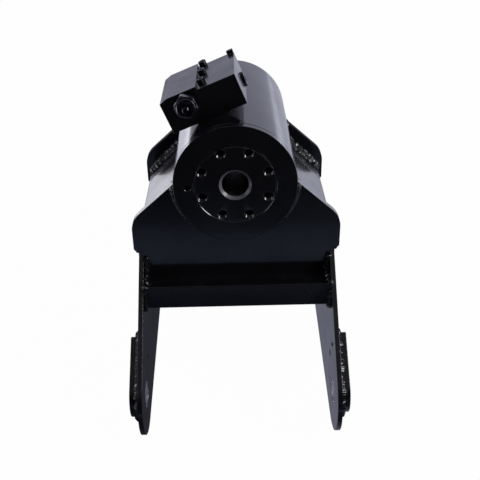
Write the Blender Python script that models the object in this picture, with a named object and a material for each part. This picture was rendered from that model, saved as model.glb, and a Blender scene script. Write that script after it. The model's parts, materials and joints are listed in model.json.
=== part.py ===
"""Platform rotator: a helical rotary actuator in a welded clevis bracket, with its counterbalance valve on top.

Every size below is in millimetres, in the actuator's own frame: the shaft's axis is the Y axis, the front face
is at y = 0, +X is to the right and +Z is up. An empty then tilts the whole thing so that it stands on the lower
edges of its side plates, with the origin under the middle of its box.
"""

import math

import bmesh
import bpy
from mathutils import Matrix, Vector

MM = 0.001
GAP = 0.3           # between two pieces that touch
ROUND = 48          # facets of a large circle that shows
INNER_ROUND = 24    # facets of a ring inside
PIN_ROUND = 24      # facets of a pin's hole
SMALL_ROUND = 16    # facets of a screw or a pin
HOLE_ROUND = 12     # facets of a tapped hole or a port

# Helical teeth. The sleeve has them inside and outside, with opposite hands, so that a straight push turns the shaft
TEETH = 10
TOOTH_HEIGHT = 3.8
TOOTH_CLEARANCE = 1.0
TOOTH_FLAT = 0.36           # share of the pitch that a tooth's tip takes, and its root
TOOTH_STEP = 8.0            # length of a facet along the teeth
STROKE = 30.0               # how far the piston slides each way from the middle
STROKE_TURN = 45.0          # degrees that it turns on the way; the shaft turns twice as far

# Radii, from the shaft's bore outwards
SHAFT_BORE = 16.3
BORE_CHAMFER = 3.2
STUB_RADIUS = SHAFT_BORE + 7.7
STEM_RADIUS = STUB_RADIUS + 3.0
SPLINE_RADIUS = STEM_RADIUS + TOOTH_HEIGHT
SLEEVE_INNER = SPLINE_RADIUS + TOOTH_CLEARANCE      # bottom of the sleeve's inner teeth
SLEEVE_WALL = 14.9
SLEEVE_ROOT = SLEEVE_INNER + SLEEVE_WALL
SLEEVE_RADIUS = SLEEVE_ROOT + TOOTH_HEIGHT
RING_GEAR_WALL = 8.2
RING_GEAR_RADIUS = SLEEVE_RADIUS + TOOTH_CLEARANCE + RING_GEAR_WALL
HOUSING_BORE = RING_GEAR_RADIUS + GAP
HOUSING_WALL = 15.0
HOUSING_RADIUS = HOUSING_BORE + HOUSING_WALL
GLAND_WALL = 10.5
FLANGE_RADIUS = HOUSING_BORE - GLAND_WALL
FLANGE_CLEARANCE = 0.4
COLLAR_RADIUS = HOUSING_BORE - 3.0
CAP_HUB_RADIUS = FLANGE_RADIUS - 7.5
BEARING_WALL = 3.2          # radial room for a bearing or a seal

# Lengths from the front face back
HOUSING_LENGTH = 263.0
RIM_CHAMFER = 2.0
EDGE_CHAMFER = 0.8
GLAND_RIM = 9.0
GLAND_SPIGOT = 22.0         # how far back the gland's spigot reaches
GLAND_LIP = 3.0
O_RING_START = 13.0
O_RING_WIDTH = 4.0
O_RING_GROOVE = 2.4
SHAFT_SEAL = 5.0            # length of a shaft seal
THRUST_WASHER = 1.7
COLLAR_START = GLAND_SPIGOT + THRUST_WASHER + 2 * GAP
COLLAR_END = COLLAR_START + 9.7

# Rear end: the cap screwed onto the shaft, and its bearing in the housing
CAP_FLANGE = 12.0
CAP_HUB_LENGTH = 22.0
CAP_START = HOUSING_LENGTH - CAP_FLANGE - CAP_HUB_LENGTH
REAR_SEAT = HOUSING_LENGTH - CAP_FLANGE - THRUST_WASHER - 2 * GAP
REAR_WALL = 25.0
REAR_BEARING = 15.0
REAR_LIP = 1.0
DOWEL_RADIUS = 2.5
DOWEL_LENGTH = 11.4
THREAD_END = 0.3            # how far the shaft's stub stays below the cap's face

# Piston and its toothed sleeve, at the middle of the stroke
CHAMBER_SPARE = 8.7         # room left behind the piston at the end of its stroke
PISTON_LENGTH = 20.0
PISTON_START = REAR_SEAT - REAR_WALL - CHAMBER_SPARE - STROKE - PISTON_LENGTH
PISTON_CLEARANCE = 0.6
SLEEVE_LENGTH = 97.0
SLEEVE_START = PISTON_START - SLEEVE_LENGTH
TOOTH_RELIEF = 5.0          # plain stretch between the outer teeth and the piston's head
INNER_TEETH_LENGTH = 52.0
SLEEVE_HOLLOW = 4.0         # how much wider the sleeve's hollow is than its teeth
STEM_CLEARANCE = 0.4
RING_GEAR_LENGTH = 58.0
RING_GEAR_START = SLEEVE_START + 7.0
SPLINE_START = SLEEVE_START - STROKE
SPLINE_END = SLEEVE_START + INNER_TEETH_LENGTH + 10.0
TOOTH_RUN_OUT = 2.0
PISTON_GROOVE = 4.3
PISTON_SEAL_WIDTH = 7.4
SHAFT_GROOVE = 3.6
SHAFT_GROOVE_WIDTH = 6.0

# Tapped holes of the two flanges
FLANGE_HOLES = 8
FRONT_HOLE_CIRCLE = FLANGE_RADIUS - 6.5
REAR_HOLE_CIRCLE = (STUB_RADIUS + CAP_HUB_RADIUS) / 2
HOLE_RADIUS = 5.6
HOLE_CHAMFER = 1.1
FRONT_HOLE_DEPTH = 20.0
REAR_HOLE_DEPTH = 16.0

# Bracket: side plates and the pieces between them
BRACKET_HALF_WIDTH = 125.25
SIDE_PLATE = 6.0
TOP_PLATE = 8.0
TOP_PLATE_Z = -HOUSING_RADIUS - 22.0
WEB = 6.0                   # the folded plates beside the housing
WEB_SLOPE = 44.0
WEB_BEND = TOP_PLATE_Z + 16.4
WEB_REACH = HOUSING_RADIUS - 9.0
FRONT_EDGE_ANGLE = 44.2
LOWER_EDGE_ANGLE = 10.0
EYE_Y = -71.3
EYE_Z = -259.5
EYE_RADIUS = 50.6
PIN_HOLE = 17.0
BOSS_PLATE = 12.7
BOSS_RADIUS = 28.0
BOSS_LENGTH = 69.0
BOSS_ANGLE = 37.3
KEEPER_HOLE = 4.5
KEEPER_OFFSET = 48.7
CROSS_HEIGHT = 32.0
CROSS_DEPTH = 40.0
CROSS_WALL = 4.0
CROSS_CORNER = 5.0
CROSS_SET_BACK = 1.0        # how far the cross tube lies behind the side plates' sloping front edge

# Saddle plates
SADDLE_THICKNESS = 10.0
FRONT_SADDLE_Y = 15.0
REAR_SADDLE_Y = HOUSING_LENGTH - 42.0
SIDE_REAR_Y = REAR_SADDLE_Y + SADDLE_THICKNESS + 1.0
SADDLE_HALF_WIDTH = BRACKET_HALF_WIDTH + 5.75
SADDLE_TOP = 6.0
SADDLE_SLOPE = 42.0         # degrees below level, from the housing out to the shoulder
SHOULDER_CORNER = -53.75    # height at which the slope would meet the saddle's side
SHOULDER_RADIUS = 31.5
SHOULDER_BOTTOM = TOP_PLATE_Z - 0.5
SADDLE_BOTTOM = TOP_PLATE_Z - 36.9
CORNER_RADIUS = 4.0

# Valve block, turned about the shaft's axis to lie against the housing's upper left.
# Its heights are above the flat that is milled for it
VALVE_TURN = 22.3
PAD_HEIGHT = HOUSING_RADIUS - 1.5
PAD_MARGIN = 2.0
VALVE_LEFT = -48.4
VALVE_RIGHT = 48.0
VALVE_FRONT = 43.0
VALVE_LENGTH = 93.0
VALVE_HEIGHT = 43.3
VALVE_STEP = 4.0
VALVE_BEVEL_WIDTH = 10.4
VALVE_BEVEL_DROP = 3.3
PORT_RADIUS = 6.6
PORT_CHAMFER = 1.2
PORT_DEPTH = 18.0
PORT_HEIGHT = 10.5
PORT_FROM_BACK = 31.0
OIL_PASSAGE = 3.0
OIL_PASSAGE_FROM_FRONT = 17.0
BOLT_ROW = 6.2              # how far to the right of the step the screws lie
BOLT_MARGIN = 17.0          # from the block's front to the first screw
BOLT_PITCH = 36.0
BOLTS = 3
BOLT_HEAD = 5.0
BOLT_HEAD_HEIGHT = 6.0
BOLT_SHANK = 3.0
BOLT_GRIP = 22.0
BOLT_SOCKET = 2.5
BOLT_SOCKET_DEPTH = 3.0
TAB_WIDTH = 8.5
TAB_DEPTH = 6.0
TAB_HEIGHT = 4.8

# Cartridge valve: its hexagon, lock nut and adjusting screw stand in front of the block
CARTRIDGE_U = -18.5
CARTRIDGE_HEIGHT = 28.7
CARTRIDGE_HEX = 13.0        # half its width across flats
CARTRIDGE_LENGTH = 11.0
CARTRIDGE_BODY = 10.0
CARTRIDGE_DEPTH = 40.0
LOCK_NUT_HEX = 8.5
LOCK_NUT_LENGTH = 5.0
ADJUSTER_RADIUS = 4.0
ADJUSTER_PROUD = 3.5
ADJUSTER_REACH = 9.0
ADJUSTER_SOCKET = 2.0
ADJUSTER_SOCKET_DEPTH = 4.0
NUT_CHAMFER = 0.8

# Small screws
GLAND_SCREW_RADIUS = 3.5
GLAND_SCREW_CIRCLE = (FLANGE_RADIUS + HOUSING_RADIUS) / 2 - 4.75
GLAND_SCREW_ANGLE = 183.0
GLAND_SCREW_LENGTH = 7.2
GLAND_SCREW_SUNK = 0.8
SEAM_SCREW_RADIUS = 4.0
SEAM_SCREW_X = 4.5
SEAM_SCREW_PROUD = 1.5
SEAM_SCREW_DEPTH = 8.0
SCREW_SOCKET = 1.8
SCREW_SOCKET_DEPTH = 3.0
SCREW_CHAMFER = 0.5
OVER = 1.0                  # how far a cutter reaches past the surface that it cuts

UPRIGHT = Matrix.Rotation(math.pi / 2, 4, "X")     # stands what runs along +Y on end

# (colour, roughness, metallic) of each finish
FINISHES = {
    "black_paint": ((0.012, 0.012, 0.015, 1.0), 0.28, 0.0),
    "steel": ((0.42, 0.42, 0.43, 1.0), 0.35, 1.0),
    "zinc_dark": ((0.10, 0.10, 0.11, 1.0), 0.35, 1.0),
    "bronze": ((0.45, 0.28, 0.10, 1.0), 0.40, 1.0),
    "seal": ((0.02, 0.02, 0.02, 1.0), 0.55, 0.0),
}


def clear_scene():
    """Removes every object that the file starts with."""
    for obj in list(bpy.data.objects):
        bpy.data.objects.remove(obj, do_unlink=True)


def finish(name):
    """The material of that finish, made when it is first asked for."""
    material = bpy.data.materials.get(name)
    if material:
        return material
    colour, roughness, metallic = FINISHES[name]
    material = bpy.data.materials.new(name)
    material.use_nodes = True
    principled = material.node_tree.nodes["Principled BSDF"]
    principled.inputs["Base Color"].default_value = colour
    principled.inputs["Roughness"].default_value = roughness
    principled.inputs["Metallic"].default_value = metallic
    return material


def add_object(name, bm, parent, finish_name=None):
    """A mesh object from the bmesh, whose units are millimetres."""
    bmesh.ops.remove_doubles(bm, verts=bm.verts, dist=1e-4)
    bmesh.ops.recalc_face_normals(bm, faces=bm.faces)
    bmesh.ops.scale(bm, vec=(MM, MM, MM), verts=bm.verts)
    mesh = bpy.data.meshes.new(name)
    bm.to_mesh(mesh)
    bm.free()
    mesh.shade_smooth()
    mesh.set_sharp_from_angle(angle=math.radians(35))
    obj = bpy.data.objects.new(name, mesh)
    bpy.context.scene.collection.objects.link(obj)
    obj.parent = parent
    if finish_name:
        obj.data.materials.append(finish(finish_name))
    else:
        obj.hide_render = True
        obj.display_type = "WIRE"
    return obj


def spun(profile, closed=True, facets=ROUND):
    """A bmesh turned about the Y axis from (radius, y) points; an open profile starts and ends on the axis."""
    bm = bmesh.new()
    verts = [bm.verts.new((radius, y, 0.0)) for radius, y in profile]
    pairs = list(zip(verts, verts[1:] + verts[:1] if closed else verts[1:]))
    edges = [bm.edges.new(pair) for pair in pairs]
    bmesh.ops.spin(
        bm, geom=verts + edges, cent=(0, 0, 0), axis=(0, 1, 0),
        angle=math.tau, steps=facets, use_merge=True, use_duplicate=False)
    bmesh.ops.remove_doubles(bm, verts=bm.verts, dist=1e-4)
    return bm


def rod(radius, start, end, chamfer=0.0, facets=SMALL_ROUND):
    """A bmesh of a solid rod along Y, from start to its chamfered end, which may lie in front of the start."""
    way = math.copysign(1.0, end - start)
    profile = [(0.0, start), (radius, start)]
    if chamfer:
        profile.append((radius, end - way * chamfer))
    profile += [(radius - chamfer, end), (0.0, end)]
    return spun(profile, closed=False, facets=facets)


def hexagon(half_width, start, end, chamfer=0.0):
    """A bmesh of a hexagon along Y, given half its width across flats."""
    corner = half_width / math.cos(math.pi / 6)
    return rod(corner, start, end, chamfer, facets=6)


def extruded(outline, axis, start, end):
    """A bmesh that extrudes an outline along X or Y. Its points are (y, z) for X and (x, z) for Y."""
    bm = bmesh.new()
    if axis == "X":
        points = [(start, a, b) for a, b in outline]
        shift = Vector((end - start, 0, 0))
    else:
        points = [(a, start, b) for a, b in outline]
        shift = Vector((0, end - start, 0))
    face = bm.faces.new([bm.verts.new(point) for point in points])
    made = bmesh.ops.extrude_face_region(bm, geom=[face])["geom"]
    bmesh.ops.translate(bm, vec=shift, verts=[g for g in made if isinstance(g, bmesh.types.BMVert)])
    return bm


def box(low, high):
    """A bmesh box between two corners."""
    bm = bmesh.new()
    size = Vector(high) - Vector(low)
    middle = (Vector(high) + Vector(low)) / 2
    bmesh.ops.create_cube(bm, size=1.0, matrix=Matrix.Translation(middle) @ Matrix.Diagonal((*size, 1.0)))
    return bm


def bevelled(bm, width, segments=1):
    """The bmesh with every edge sharper than 30 degrees bevelled."""
    bmesh.ops.recalc_face_normals(bm, faces=bm.faces)
    edges = [e for e in bm.edges if e.is_manifold and e.calc_face_angle() > math.radians(30)]
    bmesh.ops.bevel(bm, geom=edges, offset=width, segments=segments, affect="EDGES", clamp_overlap=True)
    return bm


def moved(bm, matrix):
    """The bmesh after a matrix."""
    bmesh.ops.transform(bm, matrix=matrix, verts=bm.verts)
    return bm


def arc(centre, radius, start, end, steps):
    """Points of an arc, with its angles in degrees."""
    turns = [math.radians(start + (end - start) * i / steps) for i in range(steps + 1)]
    return [(centre[0] + radius * math.cos(t), centre[1] + radius * math.sin(t)) for t in turns]


def cut(obj, cutter, name):
    """Cuts one object with another, which stays hidden."""
    modifier = obj.modifiers.new(name, "BOOLEAN")
    modifier.operation = "DIFFERENCE"
    modifier.object = cutter


def about_y(angle):
    """A turn about the shaft's axis that takes +X towards +Z, in degrees."""
    return Matrix.Rotation(-math.radians(angle), 4, "Y")


def ring(inner, outer, start, end):
    """A bmesh of a plain ring about the Y axis, whose bore's facets lie outside its circle."""
    bore = inner / math.cos(math.pi / INNER_ROUND)
    return spun([(bore, start), (outer, start), (outer, end), (bore, end)], facets=INNER_ROUND)


def running_ring(journal, start, end):
    """A bearing or a seal about a journal of that radius."""
    return ring(journal + GAP, journal + BEARING_WALL, start, end)


def pocket(journal):
    """Radius of the pocket that holds the running rings about a journal."""
    return journal + BEARING_WALL + GAP


def circle(radius, y, turn=0.0):
    """Points of a plain section for a toothed piece: as many as its teeth need."""
    count = 4 * TEETH
    angles = [turn + math.tau * i / count for i in range(count)]
    return [(radius * math.cos(a), y, -radius * math.sin(a)) for a in angles]


def teeth(low, high, y, turn):
    """Points of a section through teeth between two radii, turned by the right hand about the Y axis."""
    corners = ((0.0, low), (TOOTH_FLAT, low), (0.5, high), (0.5 + TOOTH_FLAT, high))
    pitch = math.tau / TEETH
    polar = [(turn + (tooth + share) * pitch, radius) for tooth in range(TEETH) for share, radius in corners]
    return [(radius * math.cos(a), y, -radius * math.sin(a)) for a, radius in polar]


def helix_turn(y, hand):
    """How far the teeth have turned at y, in radians."""
    return hand * math.radians(STROKE_TURN) / STROKE * y


def toothed(low, high, start, end, hand):
    """Sections through helical teeth that mesh with those of the same hand wherever the two stand."""
    steps = math.ceil((end - start) / TOOTH_STEP)
    places = [start + (end - start) * i / steps for i in range(steps + 1)]
    return [teeth(low, high, y, helix_turn(y, hand)) for y in places]


def join_loops(bm, first, second):
    """Faces between two loops of as many vertices."""
    for i in range(len(first)):
        bm.faces.new((first[i - 1], first[i], second[i], second[i - 1]))


def started_beside(vert, loop):
    """The loop, started at its vertex that lies nearest in direction from the axis."""
    toward = Vector((vert.co.x, vert.co.z)).normalized()
    nearest = max(range(len(loop)), key=lambda i: toward.dot(Vector((loop[i].co.x, loop[i].co.z)).normalized()))
    return loop[nearest:] + loop[:nearest]


def lofted(outer, inner):
    """A bmesh of a tube about the Y axis through sections outside and inside, each listed from front to back."""
    bm = bmesh.new()
    walls = [[[bm.verts.new(point) for point in section] for section in wall] for wall in (outer, inner)]
    for wall in walls:
        for first, second in zip(wall, wall[1:]):
            join_loops(bm, first, second)
    for end in (0, -1):
        join_loops(bm, walls[0][end], started_beside(walls[0][end][0], walls[1][end]))
    bmesh.ops.triangulate(bm, faces=bm.faces)
    return bm


def hole_cutter(name, parent, radius, depth, chamfer, mouth_y, inwards, place):
    """A hidden cutter for a chamfered hole along Y: its mouth is at mouth_y, and it runs to inwards * depth."""
    drill_point = radius * 0.5
    profile = [
        (0.0, mouth_y - inwards * OVER),
        (radius + chamfer + OVER, mouth_y - inwards * OVER),
        (radius, mouth_y + inwards * chamfer),
        (radius, mouth_y + inwards * (depth - drill_point)),
        (0.0, mouth_y + inwards * depth),
    ]
    return add_object(name, moved(spun(profile, closed=False, facets=HOLE_ROUND), place), parent)


def make_housing(parent):
    """The tube: bored from the front, with the rear bearing's pocket and a counterbore for the end cap's flange."""
    front = GLAND_RIM + GAP
    rear = HOUSING_LENGTH
    counterbore = FLANGE_RADIUS + FLANGE_CLEARANCE
    rear_bore = pocket(CAP_HUB_RADIUS)
    profile = [
        (HOUSING_BORE, front), (HOUSING_RADIUS - EDGE_CHAMFER, front), (HOUSING_RADIUS, front + EDGE_CHAMFER),
        (HOUSING_RADIUS, rear - RIM_CHAMFER), (HOUSING_RADIUS - RIM_CHAMFER, rear), (counterbore, rear),
        (counterbore, REAR_SEAT), (rear_bore, REAR_SEAT), (rear_bore, REAR_SEAT - REAR_WALL),
        (HOUSING_BORE, REAR_SEAT - REAR_WALL),
    ]
    housing = add_object("housing", spun(profile), parent, "black_paint")
    turn = about_y(VALVE_TURN)
    pad = box((-HOUSING_RADIUS, VALVE_FRONT - PAD_MARGIN, PAD_HEIGHT),
              (HOUSING_RADIUS, VALVE_FRONT + VALVE_LENGTH + PAD_MARGIN, HOUSING_RADIUS + OVER))
    cut(housing, add_object("cutter_valve_pad", moved(pad, turn), parent), "valve pad")
    place = turn @ Matrix.Translation((0, VALVE_FRONT + OIL_PASSAGE_FROM_FRONT, 0)) @ UPRIGHT
    passage = moved(rod(OIL_PASSAGE, HOUSING_BORE - OVER, HOUSING_RADIUS + OVER, facets=HOLE_ROUND), place)
    cut(housing, add_object("cutter_oil_passage", passage, parent), "oil passage")
    cut(housing, bpy.data.objects["cutter_seam_screw"], "seam screw")


def make_seam_screw(parent):
    """The set screw that locks the gland to the housing, driven in on the seam between them."""
    place = Matrix.Translation((SEAM_SCREW_X, GLAND_RIM + GAP / 2, 0)) @ UPRIGHT
    bottom = HOUSING_RADIUS - SEAM_SCREW_DEPTH
    top = HOUSING_RADIUS + SEAM_SCREW_PROUD
    hole = rod(SEAM_SCREW_RADIUS + GAP, bottom - GAP, top + OVER)
    add_object("cutter_seam_screw", moved(hole, place), parent)
    screw = moved(rod(SEAM_SCREW_RADIUS, bottom, top, SCREW_CHAMFER), place)
    screw = add_object("seam_lock_screw", screw, parent, "zinc_dark")
    socket = moved(hexagon(SCREW_SOCKET, top - SCREW_SOCKET_DEPTH, top + OVER), place)
    cut(screw, add_object("cutter_seam_socket", socket, parent), "socket")


def make_gland(parent):
    """The front ring, whose spigot holds the front bearing and the shaft seal, with an o-ring in its groove."""
    inner = FLANGE_RADIUS + FLANGE_CLEARANCE
    hollow = pocket(FLANGE_RADIUS)
    outer = HOUSING_BORE - GAP
    groove_end = O_RING_START + O_RING_WIDTH
    face_chamfer = EDGE_CHAMFER * 1.5
    profile = [
        (inner, 0.0), (HOUSING_RADIUS - face_chamfer, 0.0), (HOUSING_RADIUS, face_chamfer),
        (HOUSING_RADIUS, GLAND_RIM - EDGE_CHAMFER), (HOUSING_RADIUS - EDGE_CHAMFER, GLAND_RIM), (outer, GLAND_RIM),
        (outer, O_RING_START), (outer - O_RING_GROOVE, O_RING_START), (outer - O_RING_GROOVE, groove_end),
        (outer, groove_end), (outer, GLAND_SPIGOT), (hollow, GLAND_SPIGOT), (hollow, GLAND_LIP),
        (inner, GLAND_LIP),
    ]
    gland = add_object("front_gland", spun(profile), parent, "black_paint")
    place = about_y(GLAND_SCREW_ANGLE) @ Matrix.Translation((GLAND_SCREW_CIRCLE, 0, 0))
    bottom = GLAND_SCREW_SUNK + GLAND_SCREW_LENGTH
    hole = hole_cutter("cutter_gland_screw", parent, GLAND_SCREW_RADIUS + GAP, bottom + GLAND_SCREW_RADIUS,
                       SCREW_CHAMFER, 0.0, 1, place)
    cut(gland, hole, "lock screw")
    cut(gland, bpy.data.objects["cutter_seam_screw"], "seam screw")
    screw = moved(rod(GLAND_SCREW_RADIUS, bottom, GLAND_SCREW_SUNK, SCREW_CHAMFER), place)
    screw = add_object("gland_lock_screw", screw, parent, "zinc_dark")
    socket = moved(hexagon(SCREW_SOCKET, GLAND_SCREW_SUNK + SCREW_SOCKET_DEPTH, GLAND_SCREW_SUNK - OVER), place)
    cut(screw, add_object("cutter_gland_socket", socket, parent), "socket")
    o_ring = ring(outer - O_RING_GROOVE + GAP, outer, O_RING_START + GAP, groove_end - GAP)
    add_object("gland_o_ring", o_ring, parent, "seal")


def make_front_running_gear(parent):
    """The seal and the bearing between the gland and the shaft's flange."""
    seal_start = GLAND_LIP + GAP
    bearing_start = seal_start + SHAFT_SEAL + GAP
    add_object("front_shaft_seal", running_ring(FLANGE_RADIUS, seal_start, seal_start + SHAFT_SEAL), parent, "seal")
    add_object("front_bearing", running_ring(FLANGE_RADIUS, bearing_start, GLAND_SPIGOT - GAP), parent, "bronze")


def make_shaft(parent):
    """The hollow shaft: front flange with its tapped holes, thrust collar, helical spline and the cap's stub."""
    tip = HOUSING_LENGTH - THREAD_END
    outer = [
        circle(FLANGE_RADIUS - EDGE_CHAMFER, 0.0), circle(FLANGE_RADIUS, EDGE_CHAMFER),
        circle(FLANGE_RADIUS, COLLAR_START), circle(COLLAR_RADIUS, COLLAR_START),
        circle(COLLAR_RADIUS, COLLAR_END), circle(STEM_RADIUS, COLLAR_END),
        circle(STEM_RADIUS, SPLINE_START, helix_turn(SPLINE_START + TOOTH_RUN_OUT, -1)),
    ]
    outer += toothed(STEM_RADIUS, SPLINE_RADIUS, SPLINE_START + TOOTH_RUN_OUT, SPLINE_END - TOOTH_RUN_OUT, -1)
    end_turn = helix_turn(SPLINE_END - TOOTH_RUN_OUT, -1)
    outer += [
        circle(STEM_RADIUS, SPLINE_END, end_turn), circle(STEM_RADIUS, CAP_START - GAP, end_turn),
        circle(STUB_RADIUS, CAP_START - GAP, end_turn), circle(STUB_RADIUS, tip - EDGE_CHAMFER, end_turn),
        circle(STUB_RADIUS - EDGE_CHAMFER, tip, end_turn),
    ]
    inner = [
        circle(SHAFT_BORE + BORE_CHAMFER, 0.0), circle(SHAFT_BORE, BORE_CHAMFER),
        circle(SHAFT_BORE, tip - EDGE_CHAMFER), circle(SHAFT_BORE + EDGE_CHAMFER, tip),
    ]
    shaft = add_object("shaft", lofted(outer, inner), parent, "black_paint")
    for name, place in flange_holes(FRONT_HOLE_CIRCLE):
        drill = hole_cutter(f"cutter_front_{name}", parent, HOLE_RADIUS, FRONT_HOLE_DEPTH, HOLE_CHAMFER, 0.0, 1,
                            place)
        cut(shaft, drill, name)
    start = GLAND_SPIGOT + GAP
    washer = ring(FLANGE_RADIUS + OVER, COLLAR_RADIUS, start, start + THRUST_WASHER)
    add_object("front_thrust_washer", washer, parent, "bronze")
    return shaft


def flange_holes(radius):
    """Name and place of each tapped hole on a circle of that radius."""
    for i in range(FLANGE_HOLES):
        yield f"hole_{i + 1}", about_y((i + 0.5) * 360 / FLANGE_HOLES) @ Matrix.Translation((radius, 0, 0))


def make_end_cap(parent, shaft):
    """The rear flange, screwed onto the shaft's stub and locked by a dowel driven in beside the thread."""
    rear = HOUSING_LENGTH
    bore = STUB_RADIUS + GAP
    flange = rear - CAP_FLANGE
    profile = [
        (bore, CAP_START), (CAP_HUB_RADIUS, CAP_START), (CAP_HUB_RADIUS, flange), (FLANGE_RADIUS, flange),
        (FLANGE_RADIUS, rear - EDGE_CHAMFER), (FLANGE_RADIUS - EDGE_CHAMFER, rear), (bore, rear),
    ]
    cap = add_object("end_cap", spun(profile), parent, "black_paint")
    for name, place in flange_holes(REAR_HOLE_CIRCLE):
        drill = hole_cutter(f"cutter_rear_{name}", parent, HOLE_RADIUS, REAR_HOLE_DEPTH, HOLE_CHAMFER, rear, -1,
                            place)
        cut(cap, drill, name)
    place = Matrix.Translation((STUB_RADIUS + GAP / 2, 0, 0))
    dowel_end = rear - 2 * THREAD_END
    dowel_start = dowel_end - DOWEL_LENGTH
    slot = rod(DOWEL_RADIUS + GAP, dowel_start - GAP, rear + OVER)
    slot = add_object("cutter_cap_dowel", moved(slot, place), parent)
    cut(cap, slot, "dowel")
    cut(shaft, slot, "dowel")
    dowel = rod(DOWEL_RADIUS, dowel_start, dowel_end, SCREW_CHAMFER)
    add_object("end_cap_dowel", moved(dowel, place), parent, "steel")


def make_rear_running_gear(root_parent, shaft_parent):
    """The bearing and the seal in the housing's rear pocket, and the washer under the end cap's flange."""
    washer = ring(CAP_HUB_RADIUS + GAP, FLANGE_RADIUS - FLANGE_CLEARANCE, REAR_SEAT + GAP,
                  REAR_SEAT + GAP + THRUST_WASHER)
    add_object("rear_thrust_washer", washer, shaft_parent, "bronze")
    seal_end = REAR_SEAT - REAR_LIP
    seal_start = seal_end - SHAFT_SEAL
    bearing_end = seal_start - GAP
    add_object("rear_shaft_seal", running_ring(CAP_HUB_RADIUS, seal_start, seal_end), root_parent, "seal")
    add_object("rear_bearing", running_ring(CAP_HUB_RADIUS, bearing_end - REAR_BEARING, bearing_end), root_parent,
               "bronze")


def make_ring_gear(parent):
    """The fixed ring whose inner helical teeth turn the sleeve as it slides."""
    end = RING_GEAR_START + RING_GEAR_LENGTH
    low = SLEEVE_ROOT + TOOTH_CLEARANCE
    outer = [circle(RING_GEAR_RADIUS, RING_GEAR_START), circle(RING_GEAR_RADIUS, end)]
    inner = toothed(low, low + TOOTH_HEIGHT, RING_GEAR_START, end, 1)
    add_object("ring_gear", lofted(outer, inner), parent, "steel")


def make_piston_sleeve(parent):
    """The piston with its toothed sleeve, which slides in the ring gear and over the shaft's spline."""
    piston_end = PISTON_START + PISTON_LENGTH
    outer_radius = HOUSING_BORE - PISTON_CLEARANCE
    groove_start, groove_end = piston_groove(GAP)
    groove_floor = outer_radius - PISTON_GROOVE
    teeth_end = PISTON_START - TOOTH_RELIEF
    turn = helix_turn(teeth_end, 1)
    outer = toothed(SLEEVE_ROOT, SLEEVE_RADIUS, SLEEVE_START, teeth_end, 1)
    outer += [circle(radius, y, turn) for radius, y in (
        (SLEEVE_ROOT, teeth_end + OVER), (SLEEVE_ROOT, PISTON_START), (outer_radius, PISTON_START),
        (outer_radius, groove_start), (groove_floor, groove_start), (groove_floor, groove_end),
        (outer_radius, groove_end), (outer_radius, piston_end))]
    bore = STEM_RADIUS + STEM_CLEARANCE
    hollow = SLEEVE_INNER + SLEEVE_HOLLOW
    hollow_end = PISTON_START - 2.0
    seal_start, seal_end = shaft_groove(0.0)
    inner_teeth_end = SLEEVE_START + INNER_TEETH_LENGTH
    turn = helix_turn(inner_teeth_end, -1)
    inner = toothed(STEM_RADIUS + TOOTH_CLEARANCE, SLEEVE_INNER, SLEEVE_START, inner_teeth_end, -1)
    inner += [circle(radius, y, turn) for radius, y in (
        (hollow, inner_teeth_end + OVER), (hollow, hollow_end), (bore, hollow_end), (bore, seal_start),
        (bore + SHAFT_GROOVE, seal_start), (bore + SHAFT_GROOVE, seal_end), (bore, seal_end), (bore, piston_end))]
    add_object("piston_sleeve", lofted(outer, inner), parent, "steel")
    seal_start, seal_end = shaft_groove(GAP)
    seal = ring(STEM_RADIUS + GAP / 2, bore + SHAFT_GROOVE - GAP, seal_start, seal_end)
    add_object("piston_shaft_seal", seal, parent, "seal")


def piston_groove(margin):
    """Start and end of the piston's outer groove, which is wider than its seal by the margin at each side."""
    start = PISTON_START + (PISTON_LENGTH - PISTON_SEAL_WIDTH) / 2
    return start - margin, start + PISTON_SEAL_WIDTH + margin


def shaft_groove(margin):
    """Start and end of the groove in the piston's bore, less the margin at each side."""
    middle = PISTON_START + PISTON_LENGTH / 2 + 1.0
    half = SHAFT_GROOVE_WIDTH / 2 - margin
    return middle - half, middle + half


def make_piston_seal(parent):
    """The ring seal in the piston's groove, which slides with it."""
    start, end = piston_groove(0.0)
    inner = HOUSING_BORE - PISTON_CLEARANCE - PISTON_GROOVE + GAP
    add_object("piston_seal", ring(inner, HOUSING_BORE - GAP, start, end), parent, "seal")


def saddle_outline():
    """The (x, z) outline of a saddle plate, before the housing is cut from it."""
    slope = math.radians(SADDLE_SLOPE)
    top_x = SADDLE_HALF_WIDTH - (SADDLE_TOP - SHOULDER_CORNER) / math.tan(slope)
    set_back = SHOULDER_RADIUS * math.tan((math.pi / 2 - slope) / 2)
    shoulder = (SADDLE_HALF_WIDTH - SHOULDER_RADIUS, SHOULDER_CORNER - set_back)
    foot = (SADDLE_HALF_WIDTH - CORNER_RADIUS, SHOULDER_BOTTOM + CORNER_RADIUS)
    skirt = BRACKET_HALF_WIDTH - SIDE_PLATE - GAP
    right = [(skirt, SADDLE_BOTTOM), (skirt, SHOULDER_BOTTOM)]
    right += arc(foot, CORNER_RADIUS, -90, 0, 4)
    right += arc(shoulder, SHOULDER_RADIUS, 0, 90 - SADDLE_SLOPE, 8)
    right += [(top_x, SADDLE_TOP)]
    return right + [(-x, z) for x, z in reversed(right)]


def make_saddles(parent):
    """The two saddle plates that carry the housing."""
    cradle = add_object("cutter_cradle", rod(HOUSING_RADIUS + GAP, 0, HOUSING_LENGTH, facets=ROUND), parent)
    outline = saddle_outline()
    for name, y in (("front_saddle", FRONT_SADDLE_Y), ("rear_saddle", REAR_SADDLE_Y)):
        saddle = add_object(name, extruded(outline, "Y", y, y + SADDLE_THICKNESS), parent, "black_paint")
        cut(saddle, cradle, "cradle")


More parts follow.
